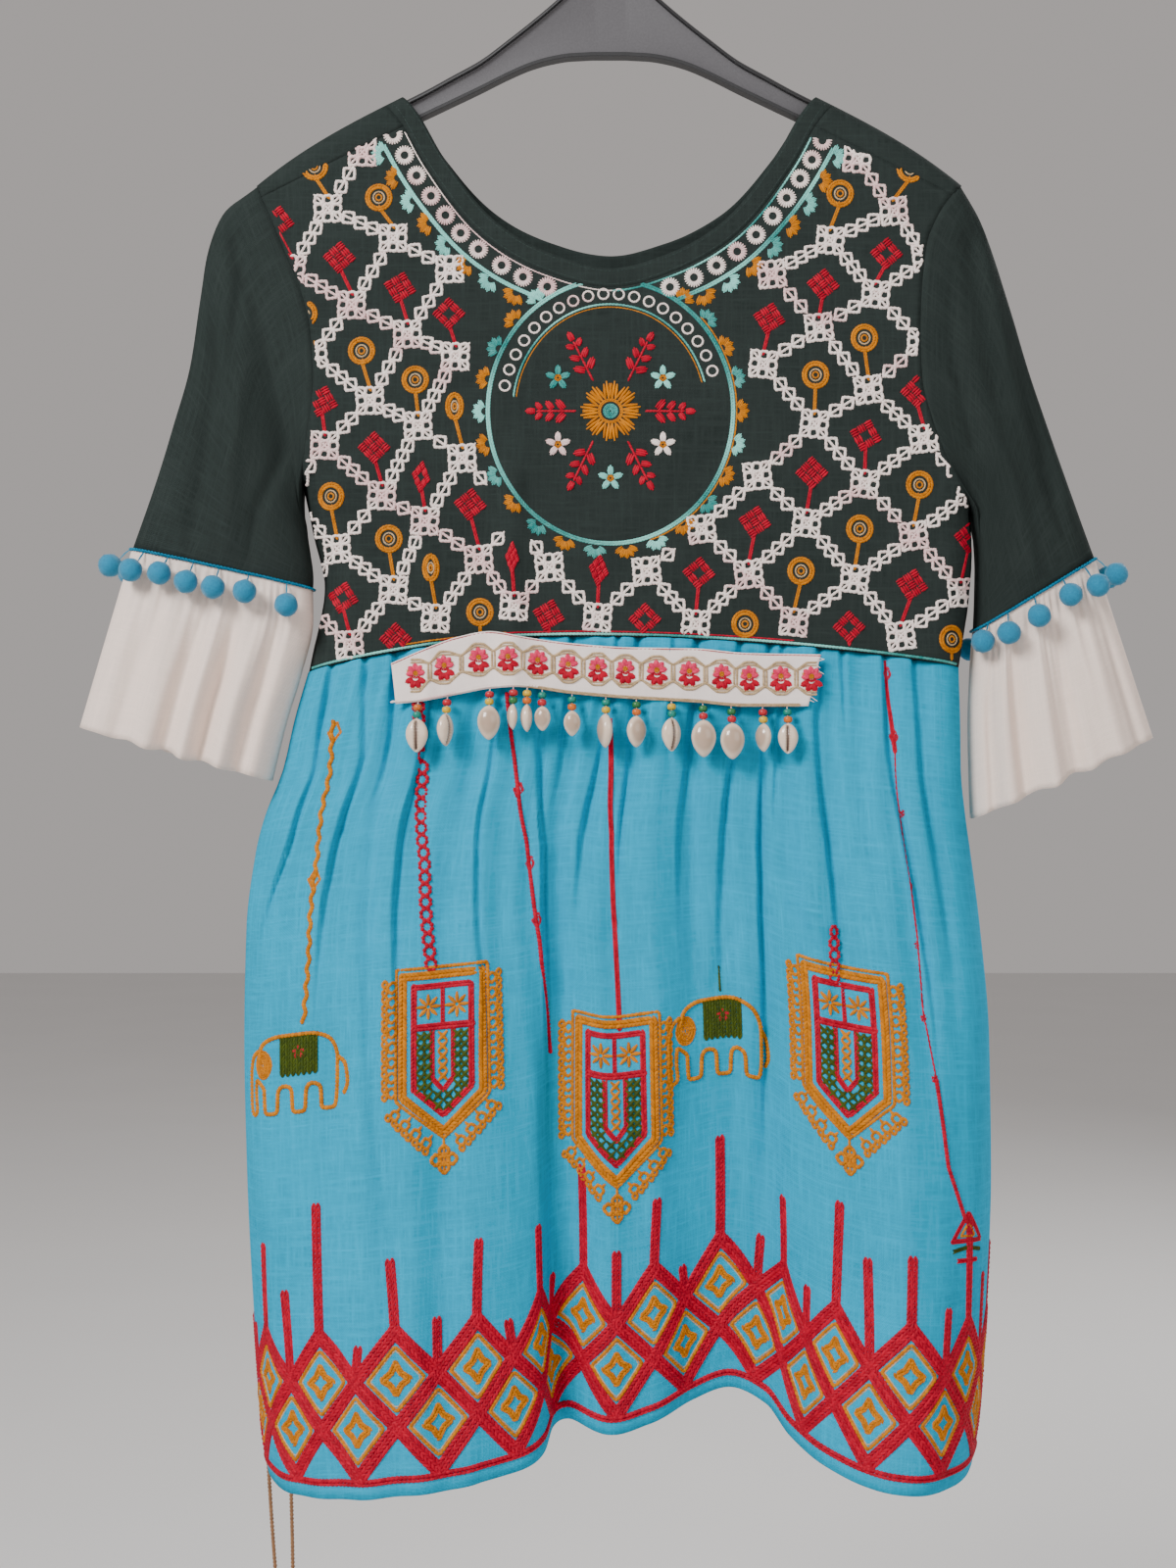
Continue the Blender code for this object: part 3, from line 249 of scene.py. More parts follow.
# Troughs pressed into the cloth, columns piece, side, line of (x, z), width and depth
TROUGHS = [
    ("sleeve", "front", [(-234, -240), (-222, -274), (-211, -322), (-204, -366)], 9.0, 4.4),
    ("sleeve", "front", [(-252, -250), (-246, -310), (-252, -372), (-262, -430)], 6.5, 3.0),
    ("sleeve", "front", [(-228, -320), (-236, -380), (-240, -446)], 6.0, -2.4),
    ("sleeve", "front", [(-206, -376), (-220, -410), (-226, -450)], 4.5, 2.6),
    ("sleeve", "front", [(-238, -228), (-232, -262), (-236, -300)], 4.0, 2.0),
    ("sleeve", "front", [(228, -240), (236, -280), (246, -336)], 9.0, 4.2),
    ("sleeve", "front", [(244, -240), (253, -290), (266, -340), (284, -400)], 5.5, 3.0),
    ("sleeve", "front", [(236, -350), (256, -396), (268, -450)], 6.0, -2.6),
    ("sleeve", "front", [(214, -262), (216, -310), (230, -368)], 4.0, 2.4),
    ("sleeve", "front", [(272, -380), (288, -425)], 4.0, 2.0),
    ("sleeve", "back", [(-226, -250), (-240, -330), (-262, -410)], 10.0, 2.2),
    ("sleeve", "back", [(232, -262), (246, -330), (262, -410)], 10.0, 2.4),
    ("body", "back", [(-150, -225), (-90, -330), (-62, -480)], 15.0, 3.6),
    ("body", "back", [(140, -225), (104, -340), (76, -480)], 13.0, 3.4),
    ("body", "back", [(-20, -290), (-6, -400), (-10, -500)], 10.0, -2.2),
    ("body", "back", [(176, -330), (150, -400), (146, -480)], 9.0, 2.6),
    ("body", "front", [(-60, -392), (-61, -440), (-61, -500)], 9.0, -4.5),
    ("body", "front", [(-114, -424), (-113, -462), (-114, -500)], 5.0, -1.6),
]


def smooth(table, x, column=1):
    """A smooth curve through a table sorted by its first column, without overshoot."""
    xs = np.array([row[0] for row in table], float)
    ys = np.array([row[column] for row in table], float)
    steps = np.diff(xs)
    slopes = np.diff(ys) / steps
    tangents = np.zeros(len(xs))
    tangents[0], tangents[-1] = slopes[0], slopes[-1]
    for i in range(1, len(xs) - 1):
        if slopes[i - 1] * slopes[i] > 0:
            tangents[i] = 2 * slopes[i - 1] * slopes[i] / (slopes[i - 1] + slopes[i])
    x = np.clip(np.asarray(x, float), xs[0], xs[-1])
    i = np.clip(np.searchsorted(xs, x) - 1, 0, len(xs) - 2)
    t = (x - xs[i]) / steps[i]
    start = (1 + 2 * t) * (1 - t) ** 2 * ys[i] + t * (1 - t) ** 2 * steps[i] * tangents[i]
    return start + t * t * (3 - 2 * t) * ys[i + 1] + t * t * (t - 1) * steps[i] * tangents[i + 1]


def stack(*columns):
    return np.stack(np.broadcast_arrays(*columns), axis=-1)


def steps_of(points, axis=0):
    """Lengths of the steps between neighbouring points."""
    return np.linalg.norm(np.diff(points, axis=axis), axis=-1)


def running(steps):
    """Sums of the steps so far, from 0."""
    return np.concatenate([[0], np.cumsum(steps)])


def along(points, shares):
    """Points at the given shares of a smooth line through the given points."""
    points = np.array(points, float)
    lengths = running(steps_of(points))
    table = np.column_stack([lengths, points])
    at = np.asarray(shares, float) * lengths[-1]
    return stack(*[smooth(table, at, k + 1) for k in range(points.shape[1])])


def length_of(points):
    return float(steps_of(np.array(points, float)).sum())


def heading(turn):
    """Unit directions in the front view."""
    return stack(np.cos(turn), np.sin(turn))


def round_turns(count):
    return np.linspace(0, 2 * math.pi, count, endpoint=False)


def between_cells(table, i, j):
    """Values of a table at rows and columns with a fraction."""
    a, b = i.astype(int), j.astype(int)
    s, t = [(v - v.astype(int)).reshape(v.shape + (1,) * (table.ndim - 2)) for v in (i, j)]
    near = (1 - t) * table[a, b] + t * table[a, b + 1]
    return (1 - s) * near + s * ((1 - t) * table[a + 1, b] + t * table[a + 1, b + 1])


def ease(t):
    t = np.clip(t, 0, 1)
    return t * t * (3 - 2 * t)


def unit(v):
    return v / np.maximum(np.linalg.norm(v, axis=-1, keepdims=True), 1e-12)


def rounded(distance, radius):
    t = np.clip(distance / radius, 0, 1)
    return np.sqrt(1 - (1 - t) ** 2)


def ridge(x):
    out = np.abs(x) - NECK_HALF
    return RIDGE_TOP - RIDGE_SLOPE * out - RIDGE_DROOP * out**3


def waist(x):
    x = np.asarray(x, float)
    out = x - WAIST_MIDDLE
    drop, half = [np.where(out < 0, WAIST_DROP["left"][k], WAIST_DROP["right"][k]) for k in (0, 1)]
    return WAIST_TOP - drop * (out / half) ** 2


def distance_to(line, x, z):
    """Distance in the front view from points to a line of short straight runs."""
    best = np.full(np.shape(x), 1e9)
    for (x0, z0), (x1, z1) in zip(line[:-1], line[1:]):
        dx, dz = x1 - x0, z1 - z0
        t = np.clip(((x - x0) * dx + (z - z0) * dz) / (dx * dx + dz * dz), 0, 1)
        best = np.minimum(best, np.hypot(x - x0 - t * dx, z - z0 - t * dz))
    return best


def troughs(piece, side, x, z):
    total = np.zeros(np.shape(x))
    for name, where, line, width, depth in TROUGHS:
        if (name, where) == (piece, side):
            total = total + depth * np.exp(-((distance_to(line, x, z) / width) ** 2))
    return total


def rumple(x, z, seed, size, height):
    """Soft uneven ripples, the same on each run."""
    rng = np.random.RandomState(seed)
    total = np.zeros(np.shape(x))
    for _ in range(9):
        turn, phase = rng.uniform(0, 2 * math.pi, 2)
        wave = rng.uniform(0.6, 1.7) / size * 2 * math.pi
        total = total + rng.uniform(0.4, 1) * np.sin(wave * (x * math.cos(turn) + z * math.sin(turn)) + phase)
    return total * height / 3


def side_line(hand):
    line = along(SIDE_SEAM[hand], np.linspace(0, 1, 17))
    line[-1, 1] = waist(line[-1, 0])
    return line


SIDE_LINES = {hand: side_line(hand) for hand in ("left", "right")}


def body_depth(side, x, z):
    """Half depth of the bodice at a point of the front view."""
    top, bottom = DEPTH[side]
    base = top + (bottom - top) * ease((RIDGE_TOP - z) / 220)
    fold = np.minimum(distance_to(SIDE_LINES["left"], x, z), distance_to(SIDE_LINES["right"], x, z))
    share = rounded((ridge(x) - z) * RIDGE_COSINE, RIDGE_ROUND) * rounded(fold, SIDE_ROUND)
    calm = ease((ridge(x) - z) / 60) * ease((z - waist(x)) / 40)
    ripples = rumple(x, z, 3 if side == "front" else 4, 60.0, 0.9) * calm
    return (base - troughs("body", side, x, z) + ripples) * share


def on_body(side, x, z):
    """Points on the bodice's front or back."""
    sign = -1 if side == "front" else 1
    return stack(x, sign * body_depth(side, x, z), z)


def coons(bottom, top, left, right):
    """A grid between four edges; left and right run upwards."""
    u = np.linspace(0, 1, len(bottom))[None, :, None]
    v = np.linspace(0, 1, len(left))[:, None, None]
    corners = (1 - u) * (1 - v) * bottom[0] + u * (1 - v) * bottom[-1]
    corners = corners + (1 - u) * v * top[0] + u * v * top[-1]
    ruled = (1 - v) * bottom[None] + v * top[None] + (1 - u) * left[:, None] + u * right[:, None]
    return ruled - corners


def neck_edges(side, hand, shares, over):
    """The neck's edge and the band's outer edge at shares of the half neck curve."""
    curve = np.array(NECK_CURVE, float)
    if side == "back":
        curve[:, 1] = RIDGE_TOP + (curve[:, 1] - RIDGE_TOP) * BACK_NECK_SHARE
    inner = along(np.concatenate([curve, curve[-2::-1] * (-1, 1)]), shares / 2)
    tangent = np.gradient(inner, shares, axis=0)
    tangent[-1] = (-1, 0)
    normal = unit(np.column_stack([-tangent[:, 1], tangent[:, 0]]))
    slope = np.array([1, -RIDGE_SLOPE]) / math.hypot(1, RIDGE_SLOPE)
    mix = ease(shares / shares[over])[:, None]
    outer = inner + BAND_WIDTH * unit((1 - mix) * slope + mix * normal)
    outer[0, 1] = ridge(outer[0, 0])
    flip = (-1 if hand == "left" else 1, 1)
    return inner * flip, outer * flip


def body_grids(side):
    """Point grids of one side of the bodice: lower block, shoulder strips and neck band."""
    over, strip, cols, arc, lower, down = 12, 18, 26, 34, 34, 26

    def shares_of(curve, distance, share, count):
        """Shares of a curve, crowded up to a distance, then even up to a share and on to its end."""
        reach = distance / length_of(curve)
        return np.concatenate([(np.arange(over + 1) / over) ** 1.8 * reach,
                               np.linspace(reach, share, strip + 1)[1:],
                               np.linspace(share, 1, count + 1)[1:]])

    neck = shares_of(NECK_CURVE, OVER_NECK, SPLIT_NECK, arc)
    split = over + strip
    grids, edges = {}, {}
    for hand in ("left", "right"):
        inner, outer = neck_edges(side, hand, neck, over)
        arm = along(ARMHOLE[hand], shares_of(ARMHOLE[hand], OVER_ARMHOLE, SPLIT_ARMHOLE, lower))
        seam = along(SIDE_LINES[hand], np.linspace(0, 1, down + 1))
        share = np.linspace(0, 1, cols + 1)[:, None]
        top_x = (arm[0] * (1 - share) + outer[0] * share)[:, 0]
        top = np.column_stack([top_x, ridge(top_x)])
        middle = arm[over] * (1 - share) + outer[over] * share
        low = arm[split] * (1 - share) + outer[split] * share
        grids["over_" + hand] = coons(middle, top, arm[over::-1], outer[over::-1])
        grids["strip_" + hand] = coons(low, middle, arm[split : over - 1 : -1], outer[split : over - 1 : -1])
        band = inner[None] + (outer - inner)[None] * np.linspace(0, 1, 7)[:, None, None]
        band[:, 0, 1] = ridge(band[:, 0, 0])
        grids["band_" + hand] = band
        edges[hand] = (outer[split:], low, np.concatenate([arm[split:], seam[1:]])[::-1])
    left, right = edges["left"], edges["right"]
    top = np.concatenate([left[1], left[0][1:], right[0][::-1][1:], right[1][::-1][1:]])
    x = np.linspace(left[2][0, 0], right[2][0, 0], len(top))
    bottom = np.column_stack([x, waist(x)])
    grids["block"] = coons(bottom, top, left[2], right[2])
    return {name: on_body(side, grid[..., 0], grid[..., 1]) for name, grid in grids.items()}


def fold_share(around):
    """Which places round a tube lie on its front, and their share from the outer to the inner fold."""
    front = around <= 0.5
    return front, np.where(front, 2 * around, 2 - 2 * around)


def tube_profile(share):
    """Half depth of a flattened tube against its largest."""
    return (1 - np.abs(2 * share - 1) ** SQUARENESS) ** (1 / SQUARENESS)


def sleeve_point(hand, around, down):
    """Points on a sleeve: around from the outer fold over the front and back, down from 0 to 1."""
    sign = -1 if hand == "left" else 1
    around, down = np.broadcast_arrays(np.asarray(around, float), np.asarray(down, float))
    front, share = fold_share(around)
    ring = down * (len(SLEEVE_STEPS) - 1)
    arm = along(ARMHOLE[hand], share)
    rows = [(i, x, z, s) for i, ((x, z), s) in enumerate(zip(SLEEVE_OUTER[hand], SLEEVE_STEPS))]
    outer = stack(smooth(rows, ring, 1), smooth(rows, ring, 2))
    top_z = SIDE_SEAM[hand][0][1]
    inner_z = top_z + (CUFF_INNER_Z[hand] - top_z) * smooth(rows, ring, 3)
    edge = sorted((z, x * sign) for x, z in ARMHOLE[hand] + SIDE_SEAM[hand][1:])
    clear = SLEEVE_CLEAR[0] * np.minimum(ring, 1) + SLEEVE_CLEAR[1] * ring
    inner = stack(sign * (smooth(edge, inner_z) + clear), inner_z)
    first, last = along(ARMHOLE[hand], 0.0), along(ARMHOLE[hand], 1.0)
    straight = first + (last - first) * share[..., None]
    keep = np.maximum(1 - ring / 3, 0)[..., None] ** 2
    flat = outer + (inner - outer) * share[..., None] + keep * (arm - straight)
    z = flat[..., 1]
    x = sign * np.maximum(sign * flat[..., 0], smooth(edge, z) + clear)
    x = np.where(ring == 0, arm[..., 0], x)
    half = SLEEVE_HALF_DEPTH[0] + (SLEEVE_HALF_DEPTH[1] - SLEEVE_HALF_DEPTH[0]) * down
    own = half * tube_profile(share)
    mix = np.minimum(ring / SLEEVE_BLEND, 1)
    mix = ease(mix) * 0.5 + mix * 0.5
    body = np.where(front, *[body_depth(side, arm[..., 0], arm[..., 1]) for side in DEPTH])
    pressed = np.where(front, *[troughs("sleeve", side, x, z) for side in DEPTH])
    ripples = rumple(x, z + np.where(front, 0, 500), 11, 70.0, 1.1)
    live = ease(down * 6) * ease((1 - down) * 8)
    depth = (1 - mix) * body + mix * own
    depth = np.maximum(depth - (pressed - ripples * own / half) * live, 0.25 * depth)
    return stack(x, CUFF_FORWARD[hand] * ease(down) + np.where(front, -depth, depth), z)


def frill_point(hand, around, down):
    """Points on a cuff frill, as on a sleeve; down runs from the cuff to the hem."""
    around, down = np.broadcast_arrays(np.asarray(around, float), np.asarray(down, float))
    top = sleeve_point(hand, around, np.ones(around.shape))
    front, share = fold_share(around)
    outer_top, inner_top = [sleeve_point(hand, a, 1.0)[..., [0, 2]] for a in (0.0, 0.5)]
    inner_line = [tuple(inner_top)] + [p for p in FRILL_INNER[hand] if p[1] < inner_top[1] - 5]
    inner = along(inner_line, down)
    outer = outer_top + (np.array(FRILL_OUTER[hand]) - outer_top) * down[..., None]
    flat = outer + (inner - outer) * share[..., None]
    own = tube_profile(share)
    wave = np.cos(2 * math.pi * FRILL_WAVES * around + 0.6) * np.sin(2 * math.pi * around) ** 2
    wobble = around + 0.006 * np.sin(2 * math.pi * 7 * around + 1)
    uneven = 0.6 + 0.4 * np.sin(2 * math.pi * 5 * around + 0.7)
    gathers = np.cos(2 * math.pi * 46 * wobble) * np.exp(-down * 4.5) * ease(down * 12) * uneven
    small = np.cos(2 * math.pi * 17 * wobble + 2) * np.exp(-down * 2.2) * ease(down * 5) * (1.4 - uneven)
    fold = sum(d * np.exp(-(((around - c) / w) ** 2)) for c, w, d in FRILL_FOLDS[hand])
    soft = 1.3 * gathers + 1.7 * small + fold * ease(down * 1.6) * sizes().frills
    half = SLEEVE_HALF_DEPTH[1] + (FRILL_HALF_DEPTH - SLEEVE_HALF_DEPTH[1]) * down
    sway = FRILL_WAVE * down**1.2 * wave + soft * own
    y = CUFF_FORWARD[hand] + np.where(front, -1, 1) * (half * own + sway)
    grid = stack(flat[..., 0], y, flat[..., 1] - 1.6 * down * wave)
    mix = ease(down * 14)[..., None]
    return top * (1 - mix) + grid * mix


def pleating(share, down, wide):
    """Height of the knife pleats above the cloth between them, with a groove beside each edge."""
    high, low = np.zeros(share.shape), np.zeros(share.shape)
    calm = 0.4 + 0.6 * ease((down - 0.13) / 0.09)
    for edge, depth in PLEATS:
        edge = np.array(edge)
        past = (np.interp(down, edge[:, 0], edge[:, 1]) - share) * wide
        live = 1 - ease((down / edge[-1, 0] - 0.4) / 0.6)
        rise = ease(past / 1.6 + 0.5) * np.exp(-np.maximum(past, 0) / PLEAT_RUN)
        high = np.maximum(high, PLEAT_STAND * depth * rise * live)
        low = low + PLEAT_GROOVE * live * np.exp(-(((past + 2.1) / 1.7) ** 2))
    return (high * calm - low) * sizes().pleats


def folding(side, share, down, wide):
    """How far the long folds, the creases and the small gathers press the skirt in."""
    total = np.zeros(share.shape)
    for top, end, start, stop, width, depth in FOLDS[side]:
        t = np.clip((down - start) / (stop - start), 0, 1)
        line = top + (end - top) * t + 0.004 * np.sin(9 * down + 40 * top)
        live = ease(t * 5 + 0.5) * ease((1 - t) * 2.2)
        total = total + depth * live * np.exp(-(((share - line) * wide / width) ** 2))
    if side == "front":
        for line, depth in CREASES:
            line = np.array(line) * (450, 500)
            total = total + depth * np.exp(-((distance_to(line, share * 450, down * 500) / 3.2) ** 2))
    gather = 0.5 + 0.5 * np.sin(2 * math.pi * 41 * share + 2.4 * np.sin(11 * share))
    total = total + 1.3 * gather * np.exp(-down * 11) * ease(down * 40)
    total = total + 0.9 * np.sin(2 * math.pi * 13 * share + 3 * np.sin(5 * share) + 2 * down) * ease(down * 4)
    return total * sizes().pleats


def skirt_sides(z):
    """The skirt's left and right edge at a height."""
    rows = sorted(SKIRT_SIDES)
    return smooth(rows, z, 1), smooth(rows, z, 2)


def lobe_depth(side, share, growth):
    """Half depth of one side of the skirt, from the waist to its lobes at the hem."""
    top = DEPTH[side][1]
    return top + (smooth(HEM[side], share, 1) - top) * growth


def skirt_point(side, share, down):
    """Points on the skirt: share of its width, down from the waist seam to the hem."""
    share, down = np.broadcast_arrays(np.asarray(share, float), np.asarray(down, float))
    left, right = [float(skirt_sides(waist(SKIRT_SIDES[0][k + 1]))[k]) for k in (0, 1)]
    top_z = waist(left + (right - left) * share)
    z = top_z + (smooth(HEM[side], share, 2) - top_z) * down
    left, right = skirt_sides(z)
    x = left + (right - left) * share
    growth = down**LOBE_GROWTH
    depth = lobe_depth(side, share, growth)
    fold = np.minimum(share, 1 - share) * (right - left)
    if side == "front":
        depth = depth + pleating(share, down, right - left)
        turn = (share - FOLD_PLACE) / FOLD_SPAN
        x = x - FOLD_REACH * growth * np.where(np.abs(turn) < 1, np.sin(math.pi * turn), 0.0)
    ripples = rumple(x, z * 0.35, 21 if side == "front" else 22, 42.0, 0.8) * ease(down * 5)
    depth = np.maximum(depth + ripples - folding(side, share, down, right - left), 6.0)
    y = depth * rounded(fold, SIDE_ROUND)
    return stack(x, -y if side == "front" else y, z)


def skirt_place(side, x, z):
    """Share and way down of a front view place on the skirt, its sway left out."""
    left, right = skirt_sides(z)
    share = (x - left) / (right - left)
    return share, (waist(x) - z) / (waist(x) - smooth(HEM[side], share, 2))


def photo_point(px, py):
    """A place in the photo as x and z in the plane of the tunic."""
    px, py = np.asarray(px, float), np.asarray(py, float)
    return (px - PHOTO_ZERO[0]) * PHOTO_SCALE, PHOTO_ZERO[1] - py * PHOTO_SCALE


def new_object(name, points, faces, finish, slot):
    """A smooth piece from millimetre points, with its finish, riding on the one body."""
    mesh = bpy.data.meshes.new(name)
    mesh.from_pydata((np.asarray(points) * MM).tolist(), [], [list(map(int, f)) for f in faces])
    mesh.shade_smooth()
    mesh.materials.append(material(finish))
    obj = bpy.data.objects.new(name, mesh)
    bpy.context.scene.collection.objects.link(obj)
    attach(obj, "root")
    return obj


def mark_points(obj, name, values):
    """Give each point of a piece a value that its finish reads."""
    obj.data.attributes.new(name, "FLOAT", "POINT").data.foreach_set("value", values)


def grid_faces(rows, columns, closed=False, start=0):
    """Quads of a grid of points numbered row by row."""
    i = np.arange(rows - 1)[:, None]
    j = np.arange(columns if closed else columns - 1)[None, :]
    k = (j + 1) % columns
    quad = [i * columns + j, i * columns + k, (i + 1) * columns + k, (i + 1) * columns + j]
    return (stack(*quad) + start).reshape(-1, 4)


# The corners of a quad in the order that turns it over
TURNED = [0, 3, 2, 1]


def cloth(node, grids, facing, finish, slot, closed=False):
    """A thin shell of cloth through welded grids. facing is -1 for front, 1 for back, 0 for a tube."""
    points, faces, marks, start = [], [], [], 0
    for grid in grids:
        rows, columns = grid.shape[:2]
        points.append(grid.reshape(-1, 3))
        faces.append(grid_faces(rows, columns, closed, start))
        uv = flat_uv(grid) if len(grids) == 1 else grid[..., [0, 2]]
        marks.append(uv.reshape(-1, 2))
        start += rows * columns
    points, faces, marks = np.concatenate(points), np.concatenate(faces), np.concatenate(marks)
    obj = new_object(node + "_cloth", points, faces, finish, slot)
    mesh = obj.data
    layer = mesh.uv_layers.new(name="weave")
    corner = np.empty(len(mesh.loops), int)
    mesh.loops.foreach_get("vertex_index", corner)
    layer.data.foreach_set("uv", (marks[corner] * MM).ravel())
    work = bmesh.new()
    work.from_mesh(mesh)
    bmesh.ops.remove_doubles(work, verts=work.verts, dist=0.00003)
    bmesh.ops.recalc_face_normals(work, faces=work.faces)
    centre = Vector((points.mean(axis=0) * MM).tolist())
    if facing:
        lean = sum(f.normal.y * f.calc_area() for f in work.faces) * facing
    else:
        lean = sum((f.calc_center_median().y - centre.y) * f.normal.y * f.calc_area() for f in work.faces)
    if lean < 0:
        bmesh.ops.reverse_faces(work, faces=work.faces)
    work.to_mesh(mesh)
    work.free()
    wall = obj.modifiers.new("wall", "SOLIDIFY")
    wall.thickness = sizes().wall
    wall.offset = -1
    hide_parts(node)
    return obj


def new_group(name, inputs, outputs):
    """A shader node group with named sockets, and the nodes at its two ends."""
    group = bpy.data.node_groups.new(name, "ShaderNodeTree")
    for way, sockets in (("INPUT", inputs), ("OUTPUT", outputs)):
        for label, kind in sockets:
            group.interface.new_socket(name=label, in_out=way, socket_type="NodeSocket" + kind)
    return group, group.nodes.new("NodeGroupInput").outputs, group.nodes.new("NodeGroupOutput").inputs


def feed(tree, socket, value):
    """Set a socket to a number or colour, or link another socket to it."""
    if isinstance(value, bpy.types.NodeSocket):
        tree.links.new(value, socket)
    else:
        socket.default_value = value


def maths(tree, operation, *values):
    node = tree.nodes.new("ShaderNodeMath")
    node.operation = operation
    for socket, value in zip(node.inputs, values):
        feed(tree, socket, value)
    return node.outputs[0]


def noise(tree, place, scale, stretch=(1.0, 1.0, 1.0), detail=2.0):
    """Noise at a place that is first stretched."""
    squeeze = tree.nodes.new("ShaderNodeVectorMath")
    squeeze.operation = "MULTIPLY"
    squeeze.inputs[1].default_value = stretch
    tree.links.new(place, squeeze.inputs[0])
    node = tree.nodes.new("ShaderNodeTexNoise")
    feed(tree, node.inputs["Scale"], scale)
    node.inputs["Detail"].default_value = detail
    tree.links.new(squeeze.outputs[0], node.inputs["Vector"])
    return node.outputs[0]


def blend(tree, share, first, second):
    """A colour between two."""
    node = tree.nodes.new("ShaderNodeMix")
    node.data_type = "RGBA"
    feed(tree, node.inputs["Factor"], share)
    feed(tree, node.inputs["A"], first)
    feed(tree, node.inputs["B"], second)
    return node.outputs["Result"]


def weave_group():
    """Plain weave with uneven threads: a height and a shade for a place in metres. The shade holds painted
    shade, darker in the gaps between the threads.
    """
    group, inside, outside = new_group("plain weave", [("Place", "Vector"), ("Pitch", "Float")],
                                       [("Height", "Float"), ("Shade", "Float")])

    def plus(a, b):
        return maths(group, "ADD", a, b)

    def times(a, b):
        return maths(group, "MULTIPLY", a, b)

    def slubs(scale, thin):
        ways = [noise(group, inside["Place"], scale, way) for way in ((1.0, thin, 1.0), (thin, 1.0, 1.0))]
        return maths(group, "MAXIMUM", *ways)

    split = group.nodes.new("ShaderNodeSeparateXYZ")
    group.links.new(inside["Place"], split.inputs[0])
    turn = maths(group, "DIVIDE", math.pi, inside["Pitch"])
    across, down = [maths(group, "SINE", times(split.outputs[axis], turn)) for axis in "XY"]
    threads = plus(maths(group, "ABSOLUTE", across), maths(group, "ABSOLUTE", down))
    threads = plus(times(threads, 0.5), times(times(across, down), 0.25))
    uneven = plus(times(slubs(900.0, 0.06), 0.55), times(slubs(330.0, 0.08), 0.45))
    cloud = noise(group, inside["Place"], 14.0, detail=3.0)
    group.links.new(plus(threads, times(uneven, 1.2)), outside["Height"])
    # Shade: slubs and cloud give a random tone; the threads' height adds painted shade, lighter on their
    # crests and darker between them
    shade = plus(plus(times(uneven, 2.4), times(cloud, 0.5)), times(threads, 0.18))
    group.links.new(maths(group, "SUBTRACT", shade, 1.12), outside["Shade"])
    return group


def dye_group():
    """Dyed thread: a colour that runs between two tones, with fine fibres."""
    group, inside, outside = new_group(
        "dyed thread", [("Tone", "Float"), ("Place", "Vector"), ("Dark", "Color"), ("Light", "Color")],
        [("Colour", "Color")])
    fibres = maths(group, "SUBTRACT", noise(group, inside["Place"], 1400.0), 0.5)
    fibres = maths(group, "MULTIPLY", fibres, 0.5)
    share = maths(group, "ADD", inside["Tone"], fibres)
    group.links.new(blend(group, share, inside["Dark"], inside["Light"]), outside["Colour"])
    return group


def grain_group():
    """Fine grain: a colour between two and a height that go together."""
    group, inside, outside = new_group(
        "grain", [("Place", "Vector"), ("Scale", "Float"), ("Dark", "Color"), ("Light", "Color")],
        [("Colour", "Color"), ("Height", "Float")])
    speck = noise(group, inside["Place"], inside["Scale"], detail=3.0)
    group.links.new(speck, outside["Height"])
    group.links.new(blend(group, speck, inside["Dark"], inside["Light"]), outside["Colour"])
    return group


GROUPS = {"plain weave": weave_group, "dyed thread": dye_group, "grain": grain_group}


def place_group(tree, name, **values):
    """Put a shared group into a material; values name its inputs."""
    node = tree.nodes.new("ShaderNodeGroup")
    node.node_tree = bpy.data.node_groups.get(name) or GROUPS[name]()
    for label, value in values.items():
        feed(tree, node.inputs[label], value)
    return node.outputs


def mark(tree, name):
    """The value of a mesh attribute."""
    node = tree.nodes.new("ShaderNodeAttribute")
    node.attribute_name = name
    return node.outputs["Fac"]


def object_place(tree):
    return tree.nodes.new("ShaderNodeTexCoord").outputs["Object"]


def relief(tree, shader, height, strength, distance):
    node = tree.nodes.new("ShaderNodeBump")
    node.inputs["Strength"].default_value = strength
    node.inputs["Distance"].default_value = distance
    tree.links.new(height, node.inputs["Height"])
    tree.links.new(node.outputs["Normal"], shader.inputs["Normal"])


# Cloths: the setting of the colour, roughness, pitch against the setting, relief, shade's spread
CLOTHS = {
    "green cotton": ("green", 0.9, 1.0, 0.5, 0.3),
    "turquoise cotton": ("turquoise", 0.85, 1.0, 0.7, 0.24),
    "cream cotton": ("cream", 0.9, 1.0, 0.5, 0.07),
    "ribbon satin": ("ribbon", 0.5, 0.67, 0.3, 0.05),
}

# Threads: dark and light tone
THREADS = {
    "white": ((0.66, 0.34, 0.36), (0.84, 0.76, 0.70)),
    "red": ((0.19, 0.0, 0.008), (0.52, 0.0, 0.025)),
    "gold": ((0.28, 0.08, 0.0), (0.60, 0.205, 0.0)),
    "teal": ((0.0, 0.17, 0.16), (0.26, 0.68, 0.60)),
    "olive": ((0.014, 0.03, 0.002), (0.06, 0.085, 0.004)),
    "zari": ((0.26, 0.17, 0.08), (0.55, 0.40, 0.24)),
    "pink": ((0.45, 0.005, 0.05), (0.78, 0.05, 0.13)),
    "blue": ((0.0, 0.11, 0.21), (0.0, 0.22, 0.37)),
    "green": ((0.012, 0.02, 0.018), (0.035, 0.055, 0.05)),
    "cream": ((0.6, 0.48, 0.4), (0.8, 0.68, 0.58)),
}

# Bead colours
BEADS = {"orange": (0.62, 0.14, 0.01), "teal": (0.0, 0.22, 0.16), "red": (0.5, 0.01, 0.02),
         "yellow": (0.66, 0.42, 0.02), "green": (0.02, 0.16, 0.04)}

